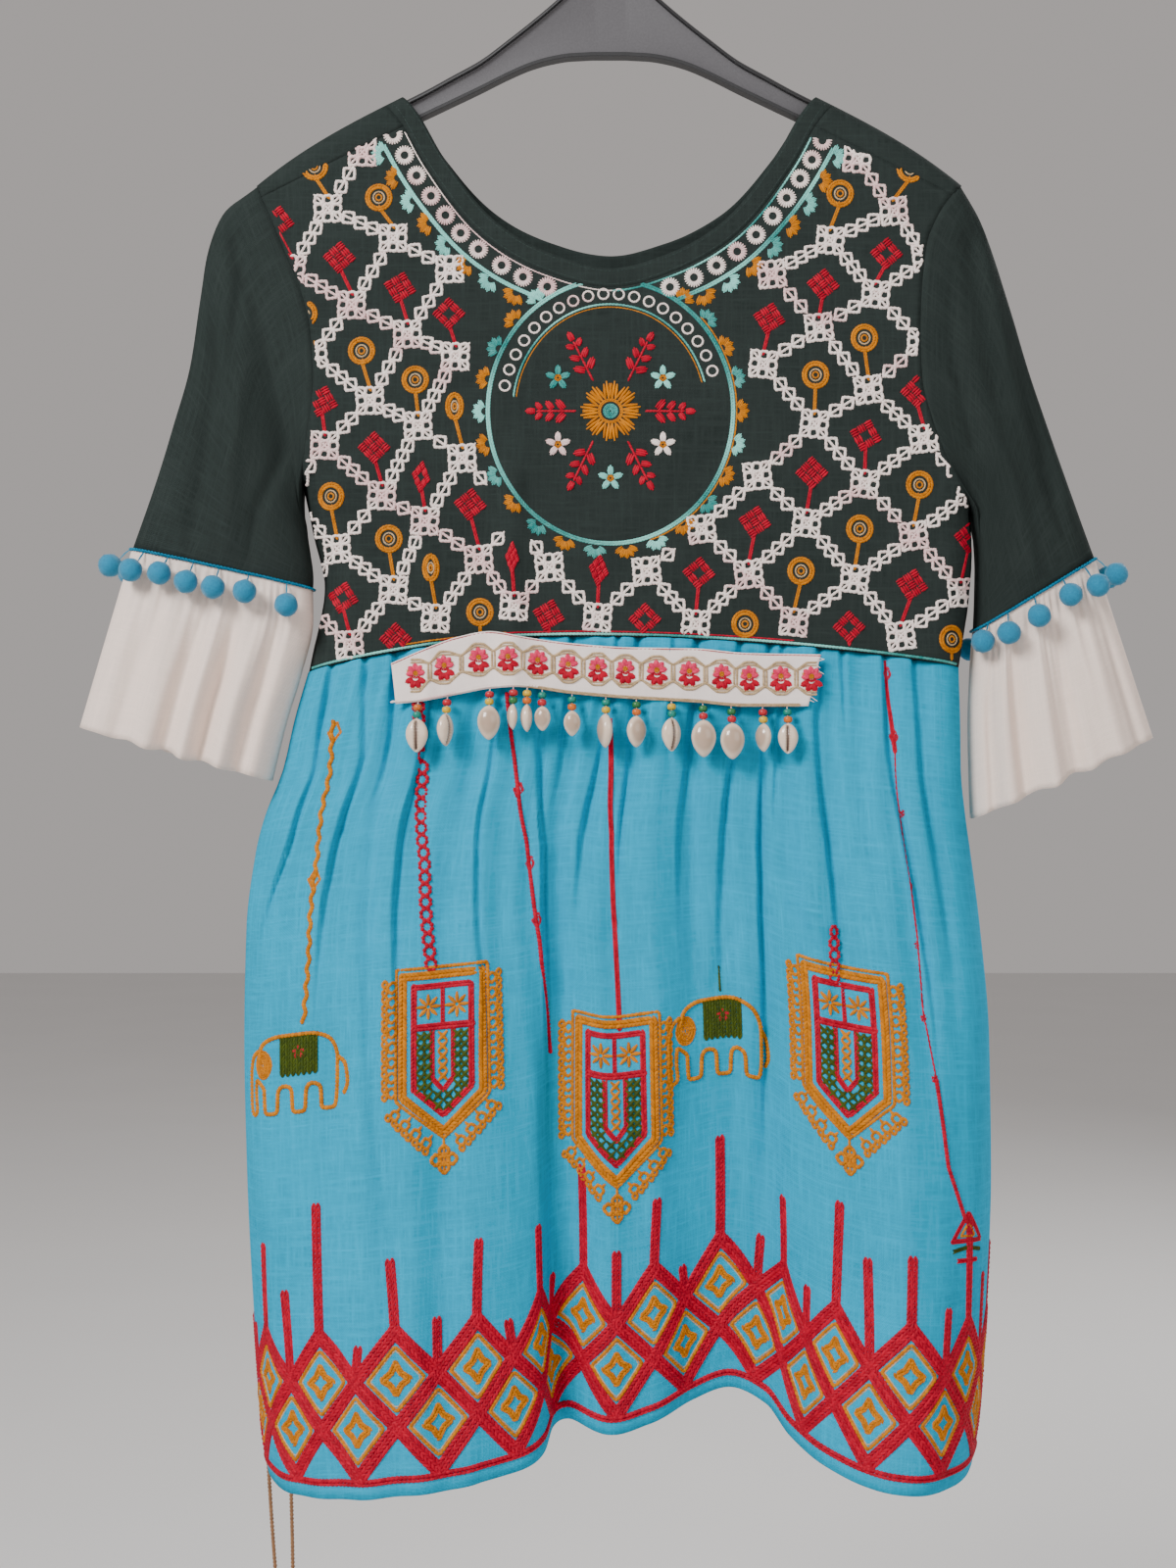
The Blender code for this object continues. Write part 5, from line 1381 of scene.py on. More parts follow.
def sew_hem(needle, skirt, tops, phase, coarse=1.0):
    """A lattice of thick red chain stitch over the hem, with spikes above and gold inside."""
    needle.lay = skirt.patch(0.0, 1.0)
    total = skirt.arc[-1, -1]
    half = HEM_PERIOD / 2

    def inside(points):
        return np.clip(points, (1.5, 0), (total - 1.5, 1e3))

    def band(points, width=9.6):
        points = inside(np.array(points, float))
        way = points[-1] - points[0]
        if np.hypot(*way) > 3:
            aside = unit(way) @ [[0, 1], [-1, 0]] * width * 0.2
            for row in (-aside, aside):
                needle.braid("red", inside(points + row), width * 0.6, 3.0 * coarse)

    for drop, width, pitch in ((0, 3.0, 2.6), (2.1, 2.4, 2.8)):
        line = stack(np.linspace(1, total - 1, 160), HEM_LINE - drop)
        needle.rope("red", line, width, pitch * coarse)
    base = HEM_LINE + 1.5
    for k in range(-3, int(total / half) + 3):
        u = phase + k * half
        top_row = k % 2 == 0
        level = base + (2 if top_row else 1) * HEM_RISE
        for tip in (level + HEM_RISE, level - HEM_RISE) if top_row else (level - HEM_RISE,):
            band([(u - half, level), (u, tip)])
            band([(u, tip), (u + half, level)])
        centre = np.array([u, level])
        if 8 < u < total - 8:
            rim = centre + np.array([(-1, 0), (0, 1), (1, 0), (0, -1)]) * (half - 7.6, HEM_RISE - 8.6)
            needle.rope("gold", rim, 2.6, 2.6 * coarse, True)
            needle.rope("zari", (rim - centre) * 0.89 + centre, 1.1, 3.0 * coarse, True)
            reach = np.array([9.0, 4.9] * 4)[:, None]
            star = centre + reach * heading(round_turns(8) + math.pi / 2) * (0.9, 1)
            needle.braid("gold", star, 4.9, 2.0 * coarse, True)
        foot = level + HEM_RISE
        if 4 < u < total - 4:
            rise = tops(k, u)
            if rise > 4:
                lean = 2.5 * math.sin(2.1 * k)
                band([(u, foot), (u + lean * 0.4, foot + rise * 0.5), (u + lean, foot + rise)], 7.0)


def sew_pendant(needle, skirt, place):
    """A pointed hanging shape: gold outline with picots, a red line, a star over a trellis."""
    needle.lay = skirt.patch_at(place)
    shape = np.array([(-25, 52), (25, 52), (25, -22), (0, -45), (-25, -22)], float)
    needle.braid("gold", shape, 6.4, 2.5, True)
    needle.rope("gold", shape * (1.17, 1.09), 2.6, 2.5, True)
    inner = np.array([(-18, 45), (18, 45), (18, -18), (0, -35), (-18, -18)], float)
    needle.braid("red", inner, 4.6, 2.3, True)
    needle.braid("red", [(-18, 20), (18, 20)], 5.4, 2.3)
    for x in (-9, 9):
        for way in heading(round_turns(8)):
            needle.bars("gold", way + (x, 32.5), way * 7.8 + (x, 32.5), 2.7)
    needle.braid("red", [(0, 45), (0, 20)], 3.4, 2.2)
    halves = ((13.6, -17, 18), (9.4, -23, 18), (3.2, -29, -20))
    rows = [(x * side, low, top, "olive") for x, low, top in halves for side in (-1, 1)]
    for x, low, top, colour in rows + [(0, -11, 18, "gold")]:
        for z in np.arange(low, top, 6.2):
            cross = np.array([(-2.9, -3.0), (2.9, -3.0)])
            needle.bars(colour, cross + (x, z), (x, z) - cross, 2.6)
    needle.braid("red", [(-6.6, 17), (-6.6, -12), (0, -20), (6.6, -12), (6.6, 17)], 4.0, 2.2)
    for z in np.arange(-18, 52, 9.2):
        for x in (-1, 1):
            for off, size in (((0, 0), 2.6), ((4.6, 2.6), 1.7), ((4.6, -2.6), 1.7)):
                spot = (x * (32.0 + off[0]), z + off[1])
                needle.rope("gold", square(spot, size, 0.6), 2.4, 2.2, True)
    for share in np.linspace(0.06, 0.86, 4):
        for x in (-1, 1):
            root = np.array([x * (28.5 - 24 * share), -27 - 24 * share])
            way = np.array([x * 0.65, -0.76])
            needle.bars("gold", root - way * 1.5, root + way * 3, 2.2)
            for far, aside, size in ((4.6, 0, 2.6), (8.4, 2.6, 1.7), (8.4, -2.6, 1.7)):
                spot = root + way * far + np.array([-way[1], way[0]]) * aside
                needle.rope("gold", square(spot, size, 0.9), 2.4, 2.2, True)
    for x, z in ((0, -57), (-5.0, -62), (5.0, -62), (0, -67), (0, -62)):
        needle.rope("gold", square((x, z), 2.7, math.pi / 4), 2.8, 2.2, True)
    needle.rope("gold", [(0, -48), (0, -71)], 2.0, 2.4)


def sew_elephant(needle, skirt, place, way):
    """A plain walking elephant in outline, with a saddle cloth."""
    needle.lay = skirt.patch_at(place)
    for points, count in ELEPHANT_LINES:
        needle.rope("gold", along(np.array(points) * (way, 1), np.linspace(0, 1, count)), 3.2, 2.3)
    for lap in (0.3, 0.62, 0.95):
        ear = oval(np.array([-23 * way, 5.0]), 6.2 * lap, 8.4 * lap, 16)
        needle.braid("gold", ear, 3.4, 2.2, True)
    for x in np.arange(-9, 13, 3.6):
        needle.braid("olive", [(x * way, 22 - abs(x - 2) * 0.05), (x * way, -1.0)], 4.4, 2.6)
    needle.petals("red", (2 * way, 11), [20, 90, 160, 230, 310], 4.6, 1.6, 0.5)


def sew_chains(needle, skirt):
    """Hanging chains and strings of small lozenges between the waist and the motifs, and a bell."""

    def line_of(places):
        return np.array([skirt.seen_at(*p) for p in places])

    needle.lay = skirt.place
    for stitch, colour, places, measures in CHAINS:
        getattr(needle, stitch)(colour, line_of(places), *measures)
    fine = along(line_of(WAVY_STRING), np.linspace(0, 1, 60))
    fine[:, 0] += 0.0032 * np.sin(np.arange(60) * 1.9)
    needle.rope("gold", fine, 3.4, 2.3)
    for colour, size, places in LOZENGES:
        for place in places:
            needle.lay = skirt.patch_at(place)
            needle.braid(colour, [(-size * 0.6, 0), (0, size), (size * 0.6, 0), (0, -size)], 2.2, 1.7, True)
    needle.lay = skirt.patch_at(BELL)
    needle.braid("red", [(-13, -3), (0, 14), (13, -3)], 3.6, 1.7, True)
    needle.braid("olive", [(-12, -9), (0, -7), (12, -9)], 3.2, 1.8)
    needle.rope("gold", [(-6, 0), (0, 8), (6, 0)], 2.0, 1.9, True)
    needle.braid("red", [(-8, -15), (8, -15)], 3.6, 1.8)


def build_skirt_embroidery():
    front = SkirtCloth("front", 181, 561)
    needle = Needle(front.place, seed=9)
    phase = float(np.interp(front.seen_at(*HEM_TIP)[0], front.share, front.arc[-1]))
    marks = sorted((float(np.interp(s, front.share, front.arc[-1])),
                    (1 - d) * float(np.interp(s, front.share, front.length)))
                   for s, d in [front.seen_at(*top) for top in SPIKE_TOPS])

    def tops(k, u):
        nearest = min(marks, key=lambda m: abs(m[0] - u))
        foot = HEM_LINE + 1.5 + (3 if k % 2 == 0 else 2) * HEM_RISE
        rise = nearest[1] - foot
        if abs(nearest[0] - u) < 15 and rise > 14:
            return rise
        return (62.0, 26.0, 40.0, 30.0)[k % 4]

    sew_hem(needle, front, tops, phase)
    for place in PENDANTS:
        sew_pendant(needle, front, place)
    for px, py, way in ELEPHANTS:
        sew_elephant(needle, front, (px, py), way)
    sew_chains(needle, front)
    needle.sew("skirt_stitches", "turquoise_cotton")
    back = SkirtCloth("back", 121, 361)
    needle = Needle(back.place, seed=10)
    sew_hem(needle, back, lambda k, u: (62.0, 26.0, 44.0, 34.0)[k % 4], 20.0, 1.45)
    needle.sew("skirt_back_stitches", "turquoise_cotton")


RIBBON = [
    (-136.5, -506.5, -532.0), (-118, -498.5, -530.5), (-94, -489.8, -526), (-75, -486.5, -522.5),
    (-57, -489.5, -521.5), (-24, -494.0, -525.5), (11, -496.5, -528.5), (55, -497.3, -531),
    (84, -500, -533.5), (132, -501, -533.5)]
RIBBON_OFF = 3.6
ROSES = [
    (425, 690), (454, 683), (489, 674), (519, 676), (549, 681), (580, 685), (610, 689), (638, 687),
    (670, 688), (703, 691), (736, 693), (764, 693), (796, 691), (827, 694)]


def front_of_skirt(x, z):
    """Half depth of the skirt's front, pleats left out, at a place near the waist."""
    share, down = skirt_place("front", x, z)
    return lobe_depth("front", share, np.maximum(down, 0) ** LOBE_GROWTH)


def ribbon_depth(x, z):
    return front_of_skirt(x, z) - troughs("body", "front", x, np.full_like(x, -490.0)) + RIBBON_OFF


def ribbon_lay(flat):
    x, z = flat[..., 0], flat[..., 1]
    y = -ribbon_depth(x, z) - 0.15
    return stack(x, y, z), unit(stack(ribbon_depth(x, z) - ribbon_depth(x + 1, z), -1.0, 0.0))


def build_ribbon():
    """A white woven ribbon with roses in gold frames, with a gold edge."""
    x = np.linspace(RIBBON[0][0], RIBBON[-1][0], 150)
    top, low = smooth(RIBBON, x, 1), smooth(RIBBON, x, 2)
    share = np.linspace(0, 1, 14)[:, None]
    z = top + (low - top) * share
    wide = x - 8.0 * share * ease((x - 112) / 20) + 3.0 * share * ease((-122 - x) / 14)
    grid = stack(wide, -ribbon_depth(wide, z) + 0.25 * np.sin(wide * 0.21) * np.sin(z * 0.3), z)
    cloth("ribbon", [grid], -1, "ribbon satin", "ribbon")
    needle = Needle(ribbon_lay, seed=12)
    centres = []
    for cx, _ in [photo_point(*rose) for rose in ROSES]:
        centres.append((float(cx), float(smooth(RIBBON, cx, 1) + smooth(RIBBON, cx, 2)) / 2 + 1.0))
    for cx, cz in centres:
        gap = min(abs(cx - o[0]) for o in centres if o[0] != cx)
        squeeze = min(gap / 19.0, 1.0)
        head = (cx, cz + 1.4)
        needle.petals("pink", head, [5, 50, 95, 140, 185], 5.2, 2.4, 1.2, squeeze)
        needle.petals("red", (cx, cz - 1.2), [205, 248, 292, 335], 6.2, 2.2, 1.4, squeeze)
        needle.braid("red", oval(head, 2.8 * squeeze, 2.8, 12), 1.8, 1.5, True)
        needle.ring("gold", np.array(head), 0.2, 1.9, 7, 1.3)
        for turn in (30, 150, 270):
            needle.petals("gold", (cx, cz), [turn], 4.6, 0.8, 2.5, squeeze)
    for side in (-1, 1):
        for off, wide_bead in ((0.0, 1.7), (1.8, 1.4)):
            line = []
            for n, (cx, cz) in enumerate(centres):
                half = 10.0 - off
                line += [(cx - 3.0, cz + side * half), (cx + 3.0, cz + side * half)]
                if n < len(centres) - 1:
                    line.append(((cx + centres[n + 1][0]) / 2, (cz + centres[n + 1][1]) / 2 + side * 4.8))
            needle.rope("zari", line, wide_bead, 1.5)
    for (ax, az), (bx, bz) in zip(centres, centres[1:]):
        for off in (-0.9, 0.9):
            mx, mz = (ax + bx) / 2 + off, (az + bz) / 2
            needle.rope("zari", [(mx, mz - 4.8), (mx, mz + 4.8)], 1.6, 1.5)
    edge = np.column_stack([x, low + 0.8])
    needle.braid("zari", edge[48:-8], 2.4, 1.6)
    needle.rope("white", edge[:52] + (0, 0.4), 1.6, 1.9)
    needle.rope("red", np.column_stack([x, top - 0.9]), 0.6, 2.6)
    for n in range(12):
        start = (130.5 - 0.55 * n, -503.0 - 2.4 * n)
        end = (start[0] + 3.2 + 1.4 * math.sin(2.6 * n), start[1] - 1.0 + 2.2 * math.sin(1.7 * n))
        needle.rope("white", [start, end], 0.5, 1.6)
    needle.sew("ribbon_stitches", "ribbon")


def build_neck_band():
    """The neck band, one ring folded over the neck's edge, with a line of stitches."""
    grids = []
    for side in ("front", "back"):
        found = body_grids(side)
        grids += [found["band_left"], found["band_right"]]
    cloth("neck_band", grids, 0, "green cotton", "green_cotton")
    needle = Needle(yoke_lay, seed=14)
    path = NECK_PATH[2:-2]
    out = unit(path - NECK_CENTRE)
    needle.rope("green", path + out * (BAND_WIDTH - 2.0), 0.55, 2.6)
    needle.rope("green", path + out * 1.8, 0.5, 2.6)
    needle.sew("neck_stitches", "green_cotton")


def build_waist_seam():
    """Bright threads along the seam between yoke and skirt."""
    needle = Needle(yoke_lay, seed=15)
    x = np.linspace(-188, 219, 150)
    line = np.column_stack([x, waist(x) + 1.6])
    needle.rope("teal", line, 1.9, 2.2)
    needle.rope("red", line[30:112] + (0, 1.6), 1.2, 2.4)
    needle.rope("gold", line[22:46] + (0, 2.0), 1.2, 2.4)
    needle.sew("seam_stitches", "green_cotton")


def tube_mesh(rings, clockwise=False):
    """Points and faces of a closed tube through rings, which may run clockwise as seen from the start."""
    rings = np.asarray(rings)
    count, sides = rings.shape[:2]
    quads = grid_faces(count, sides, True)
    ends = [list(range(sides)), [(count - 1) * sides + j for j in range(sides)][::-1]]
    if clockwise:
        ends = [end[::-1] for end in ends]
    else:
        quads = quads[:, TURNED]
    return rings.reshape(-1, 3), quads.tolist() + ends


def joined(parts):
    """Points and faces of several meshes as one."""
    points, faces, start = [], [], 0
    for more, sides in parts:
        points.append(more)
        faces += [[i + start for i in side] for side in sides]
        start += len(more)
    return np.concatenate(points), faces


def frames_along(line):
    way = unit(np.gradient(line, axis=0))
    hint = np.array([0.0, 1.0, 0.0])
    side = unit(np.cross(way, hint))
    return way, side, np.cross(side, way)


def tube_along(line, radius, sides=8):
    way, side, other = frames_along(line)
    turn = round_turns(sides)[None, :, None]
    radius = np.broadcast_to(radius, len(line))[:, None, None]
    return tube_mesh(line[:, None] + radius * (np.cos(turn) * side[:, None] + np.sin(turn) * other[:, None]))


HANGER_BODY = [
    (0, -62, -119.5), (10.5, -62.5, -119.5), (14, -66, -119.7), (25, -75.5, -120.3), (38, -87, -122.5),
    (50, -97, -126), (64, -108, -132), (82, -121.4, -141), (100, -131.4, -149.6), (116, -140.2, -157.2)]


def build_hanger():
    """A moulded plastic hanger: arms with raised rims round a web, and a plain hook."""
    rows = list(HANGER_BODY)
    for half in (130, 147, 164, 181, 198, 214):
        share = (half - 130) / 84
        top = float(ridge(half)) - 3.0
        rows.append((half, top, top - 16.5 + 5.0 * share**2))
    half = np.linspace(0, 214, 100)
    top, low = smooth(rows, half, 1), smooth(rows, half, 2)
    x = np.concatenate([-half[:0:-1], half])
    top, low = np.concatenate([top[:0:-1], top]), np.concatenate([low[:0:-1], low])
    rim = np.minimum(2.6, (top - low) / 3)
    profile = [(4.1, low), (4.5, low + 0.5), (4.5, low + rim - 0.4), (4.1, low + rim), (1.8, low + rim + 0.2),
               (1.6, low + rim + 0.8), (1.6, top - rim - 1.8), (1.8, top - rim - 1.2), (4.1, top - rim - 1),
               (4.5, top - rim - 0.6), (4.5, top - 2.4), (4.1, top - 1.6), (2.5, top - 0.3), (1.8, top)]
    profile += [(-y, z) for y, z in reversed(profile)]
    rings = np.stack([stack(x, y, z) for y, z in profile], axis=1)
    obj = new_object("hanger_body", *tube_mesh(rings, True), "black plastic", "black_plastic")
    obj.data.set_sharp_from_angle(angle=math.radians(35))
    obj.data.materials.append(material("grey plastic"))
    for face in obj.data.polygons:
        if abs(face.normal.y) > 0.9 and abs(face.center.y) < 0.0019:
            face.material_index = 1
    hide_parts("hanger")
    radius = 21.5
    arc = [(radius * math.cos(a), -18 + radius * math.sin(a)) for a in np.radians(np.linspace(-25, 205, 25))]
    line = along([(0, -72), (0, -63), (0.5, -57), (5, -49), (12.5, -39)] + arc, np.linspace(0, 1, 90))
    line = stack(line[:, 0], 0.0, line[:, 1])
    wide = np.full(len(line), 3.5)
    wide[-3:] = 3.3, 2.8, 1.6
    new_object("hanger_hook", *tube_along(line, wide, 16), "black plastic", "black_plastic")


POMPOMS = {
    "left": [
        0.015, 0.075, 0.135, 0.195, 0.255, 0.325, 0.41, 0.6, 0.68, 0.76, 0.83, 0.9, 0.955],
    "right": [
        0.035, 0.1, 0.175, 0.27, 0.355, 0.415, 0.585, 0.665, 0.75, 0.83, 0.9, 0.965],
}


def ball(centre, radius, rng):
    """Rings of a felt ball, a little uneven."""
    lat = np.linspace(0.05, math.pi - 0.05, 20)[:, None]
    lon = round_turns(28)[None]
    way = stack(np.sin(lat) * np.cos(lon), np.sin(lat) * np.sin(lon), np.cos(lat))
    swell = np.zeros(way.shape[:2])
    for _ in range(7):
        axis = unit(rng.normal(size=3))
        swell += rng.uniform(0.2, 1) * np.sin((way @ axis) * rng.uniform(3, 11) + rng.uniform(0, 6))
    return centre + way * (radius * (0.965 + 0.012 * swell))[..., None]


def outward(ring, sides):
    """Unit sides of a ring, turned to point away from its middle."""
    out = unit(sides)
    return out * np.sign(((ring - ring.mean(axis=0)) * out).sum())


def build_pompoms():
    """Felt pompoms on short threads, hung from a thin cord over each cuff seam."""
    radius = sizes().pompom / MM
    for hand in ("left", "right"):
        rng = np.random.RandomState(31 if hand == "left" else 32)
        around = np.linspace(0, 1, 400, endpoint=False)
        cuff = sleeve_point(hand, around, 1.0)
        down = unit(frill_point(hand, around, 0.33) - cuff)
        out = outward(cuff, np.cross(np.roll(cuff, -1, axis=0) - np.roll(cuff, 1, axis=0), down))
        ends = running(np.linalg.norm(np.roll(cuff, -1, axis=0) - cuff, axis=1))
        needle = Needle(None, seed=33)
        balls = []
        cord = cuff + out * 0.9
        for twist in (0, math.pi):
            turn = ends[:-1, None] * 2 * math.pi / 4.5 + twist
            ply = cord + 0.55 * (np.cos(turn) * out + np.sin(turn) * down)
            needle.add("blue", ply, np.roll(ply, -1, axis=0), out, 1.3, 0.6)
        for n, share in enumerate(POMPOMS[hand]):
            j = min(int(np.searchsorted(ends, share * ends[-1])), 399)
            base, o, d = cuff[j], out[j], down[j]
            root = base + o * 0.9
            centre = base + o * 10.0 + d * (13.5 + 1.5 * math.sin(2.3 * n))
            balls.append(tube_mesh(ball(centre, radius, rng)))
            sag = root + (centre - root) * 0.5 + d * 1.2
            for a, b in ((root, sag), (sag, centre)):
                needle.add("blue", a, b, o, 1.1, 0.7)
            hair = unit(rng.normal(size=(90, 3)))
            bend = unit(hair + rng.normal(size=(90, 3)) * 0.5)
            needle.add("blue", centre + hair * (radius - 0.6), centre + hair * (radius - 0.3) + bend * 0.9,
                       np.cross(hair, bend), 0.16, 0.5)
        obj = new_object("pompoms_" + hand, *joined(balls), "blue felt", "blue_felt")
        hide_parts("pompom_trim_" + hand)
        needle.sew("pompom_cord_" + hand, "blue_felt")


# Drops below the ribbon: x, turn, shell length, colours of the two beads
DROPS = [
    (-119.5, 0, 21, "orange", "teal"), (-101.5, 60, 20.3, "red", "yellow"),
    (-75, 180, 21.5, "red", "yellow"), (-60, 95, 16, "red", "green"), (-51.2, 85, 17.2, "yellow", "orange"),
    (-41.8, 170, 15.4, "teal", "red"), (-23.4, 180, 16, "teal", "orange"),
    (-2.5, 110, 21.5, "teal", "yellow"), (16.4, 210, 19.7, "green", "orange"),
    (38.5, 40, 21, "yellow", "teal"), (58.4, 180, 23.4, "green", "red"), (76.3, 180, 22.8, "green", "red"),
    (95.8, 130, 17.8, "red", "yellow"), (110.7, 0, 19, "teal", "orange")]


def shell_grid(length, wide, thick):
    """A cowrie with its slit on the side that faces -Y, and the tone of each point, low where painted shade
    darkens the slit and its teeth.
    """
    t = np.linspace(0.004, 0.996, 38)[:, None]
    phi = round_turns(48)[None]
    bulge = np.sin(math.pi * t**0.88) ** 0.62
    x = wide * bulge * np.cos(phi)
    y = thick * bulge * np.sin(phi)
    y = np.where(y < 0, y * 0.8, y * 1.12)
    near = np.exp(-((x + 0.05 * wide) / (0.12 * wide)) ** 2) * (y < 0) * ease(t * 7) * ease((1 - t) * 7)
    teeth = np.exp(-((np.abs(x + 0.05 * wide) - 0.2 * wide) / (0.1 * wide)) ** 2) * (y < 0)
    y = y + near * 0.55 * thick + teeth * 0.09 * thick * np.sin(t * 2 * math.pi * 13)
    lip = np.exp(-((np.abs(x) - 0.86 * wide) / (0.12 * wide)) ** 2) * (y > -0.2 * thick) * 0.05 * thick
    grid = stack(x, y + lip, -length * t)
    dome = ease((y / thick - 0.45) * 2.2)
    # tone is painted shade: dark in the slit and in stripes along its teeth
    tone = np.clip(1 - near * 1.1 - 0.25 * np.abs(teeth * np.sin(t * 2 * math.pi * 13)), 0, 1)
    return grid, tone, dome + 0 * phi


def build_drops():
    """Cowrie shells, each under two small beads on a thread."""
    shells, tones, domes, beads = [], [], [], {}
    needle = Needle(None, seed=41)
    for n, (x, turn, length, *colours) in enumerate(DROPS):
        edge = float(smooth(RIBBON, x, 2)) - 0.6
        start_y = 0.6 - float(ribbon_depth(np.array(float(x)), np.array(edge)))
        end_y = -float(front_of_skirt(np.array(float(x)), np.array(edge - 28.0))) - 4.0 - 0.33 * length
        way, side = heading(np.radians([turn, turn + 90]))
        grid, tone, dome = shell_grid(length, 0.33 * length, 0.22 * length)
        flat = grid[..., :1] * way + grid[..., 1:2] * side + (x, end_y)
        shells.append(tube_mesh(stack(flat[..., 0], flat[..., 1], edge - 10.2 + grid[..., 2])))
        tones.append(tone.ravel())
        domes.append(dome.ravel())

        def thread_at(far):
            y = start_y + (end_y - start_y) * min(far / 10, 1)
            return np.array([x + 0.3 * math.sin(n), y, edge - far])

        for a, b in ((-1.5, 1.6), (1.4, 6.0), (5.6, 9.0), (8.6, 11.5)):
            needle.add("white", thread_at(a), thread_at(b), np.array([0, -1.0, 0]), 0.8, 0.7)
        for far, colour in zip((3.3, 7.9), colours):
            rings = []
            for t in np.linspace(-1, 1, 9):
                r = 0.7 + (sizes().bead / MM - 0.7) * math.sqrt(max(1 - abs(t) ** 2.6, 0))
                circle = heading(round_turns(16)) * r
                rings.append(thread_at(far) + stack(circle[:, 0], circle[:, 1], -2.2 * t))
            beads.setdefault(colour, []).append(tube_mesh(rings))
    obj = new_object("cowries", *joined(shells), "cowrie shell", "cowrie")
    # The tone mark carries the painted shade of the slits
    for name, values in (("tone", tones), ("dome", domes)):
        mark_points(obj, name, np.concatenate(values))
    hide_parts(*["cowrie_drop_%02d" % (n + 1) for n in range(len(DROPS))])
    for colour, tubes in beads.items():
        new_object("beads_" + colour, *joined(tubes), "bead " + colour, "cowrie")
    needle.sew("drop_threads", "cowrie")


TIE_ROUTES = {
    "outer": [
        (-184, -519), (-196, -557), (-209, -600), (-218, -643), (-222, -692), (-222.5, -766), (-223, -858),
        (-222.5, -951), (-222, -1012), (-219, -1074), (-217.5, -1096)],
    "inner": [
        (-178, -519), (-191, -563), (-201, -612), (-206, -662), (-208, -717), (-209, -797), (-209, -889),
        (-208.5, -963), (-208, -1031), (-207, -1074), (-206.5, -1104)],
}


def back_depth(x, z):
    """Depth of the skirt's back behind a front view place."""
    share, down = skirt_place("back", x, z)
    return skirt_point("back", share, np.clip(down, 0, 1))[..., 1]


def build_ties():
    """Two twisted tie cords with knotted ends, down the back of the skirt."""
    for name, route in TIE_ROUTES.items():
        flat = along(route, np.linspace(0, 1, 26))
        y = 1.9 + np.array([max(float(back_depth(x + step, max(z, -960.0))) for step in (5, 9, 13))
                            for x, z in flat])
        level = np.convolve(np.pad(y, 2, mode="edge"), np.ones(5) / 5, mode="valid")
        line = stack(flat[:, 0], np.maximum(y, level), flat[:, 1])
        x, z = route[0]
        root = np.array([x, float(back_depth(np.array(float(x)), np.array(float(z)))), z])
        line = np.concatenate([root + [(-0.3, 0.2, 0), (-1.0, 1.6, -0.2), (-1.6, 2.6, -1.9)], line[1:]])
        line = along(line, np.linspace(0, 1, 470))
        length = length_of(line)
        _, side, other = frames_along(line)
        plies = []
        for start in (0, math.pi):
            turn = (np.linspace(0, length, len(line)) / 5.2 * 2 * math.pi + start)[:, None]
            plies.append(tube_along(line + 0.68 * (np.cos(turn) * side + np.sin(turn) * other), 0.82, 7))
        cord = new_object("tie_cord_%s_twist" % name, *joined(plies), "twisted cord", "tie_cord")
        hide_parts("tie_cord_" + name)
        t = np.linspace(0, 1, 90)
        wrap = line[-1] + stack(2.1 * np.cos(t * 6 * math.pi), 2.1 * np.sin(t * 6 * math.pi), -0.8 - 4.6 * t)
        tail = line[-1] + stack(0.0, 0.0, 0.5 - np.linspace(0, 7.6, 12))
        parts = [tube_along(wrap, 0.95), tube_along(tail, np.linspace(1.3, 1.6, 12))]
        knot = new_object("tie_knot_%s_wraps" % name, *joined(parts), "twisted cord", "tie_cord")
        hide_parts("tie_knot_" + name)


# Lights: place in metres, watts and size
LIGHTS = [("key", (-1.55, -1.9, 1.0), 104, 1.0), ("fill", (1.7, -2.3, 0.2), 24, 2.0),
          ("back", (1.9, 1.7, 0.9), 60, 1.2)]


def build_stage():
    """A pale floor, soft light and the camera of the photograph."""
    scene = bpy.context.scene
    bpy.ops.mesh.primitive_plane_add(size=12, location=(0, 2, -1.45))
    floor = bpy.context.object
    floor.name = "floor"
    floor.data.materials.append(material("pale floor"))
    for name, place, energy, size in LIGHTS:
        light = bpy.data.lights.new(name, "AREA")
        light.energy, light.size = energy, size
        lamp = bpy.data.objects.new(name, light)
        lamp.location = place
        aim = Vector((0, 0, -0.55)) - lamp.location
        lamp.rotation_euler = aim.to_track_quat("-Z", "Y").to_euler()
        scene.collection.objects.link(lamp)
    world = bpy.data.worlds.new("studio")
    world.use_nodes = True
    glow = world.node_tree.nodes["Background"].inputs
    glow["Color"].default_value = (0.84, 0.79, 0.77, 1)
    glow["Strength"].default_value = 0.5
    scene.world = world
    camera = bpy.data.cameras.new("photo camera")
    camera.sensor_fit = "VERTICAL"
    camera.sensor_height = SENSOR
    camera.lens = SENSOR * PHOTO_DISTANCE / (2 * PHOTO_MIDDLE[1] * PHOTO_SCALE)
    viewer = bpy.data.objects.new("photo camera", camera)
    viewer.location = CAMERA_PLACE
    viewer.rotation_euler = (math.radians(90), 0, 0)
    scene.collection.objects.link(viewer)
    scene.camera = viewer


def build_sleeves():
    """Two short sleeves, each a tube from armhole to cuff."""
    around = np.linspace(0, 1, 120, endpoint=False)
    for hand in ("left", "right"):
        grid = sleeve_point(hand, around[None], np.linspace(0, 1, 48)[:, None])
        cloth("sleeve_" + hand, [grid], 0, "green cotton", "green_cotton", True)


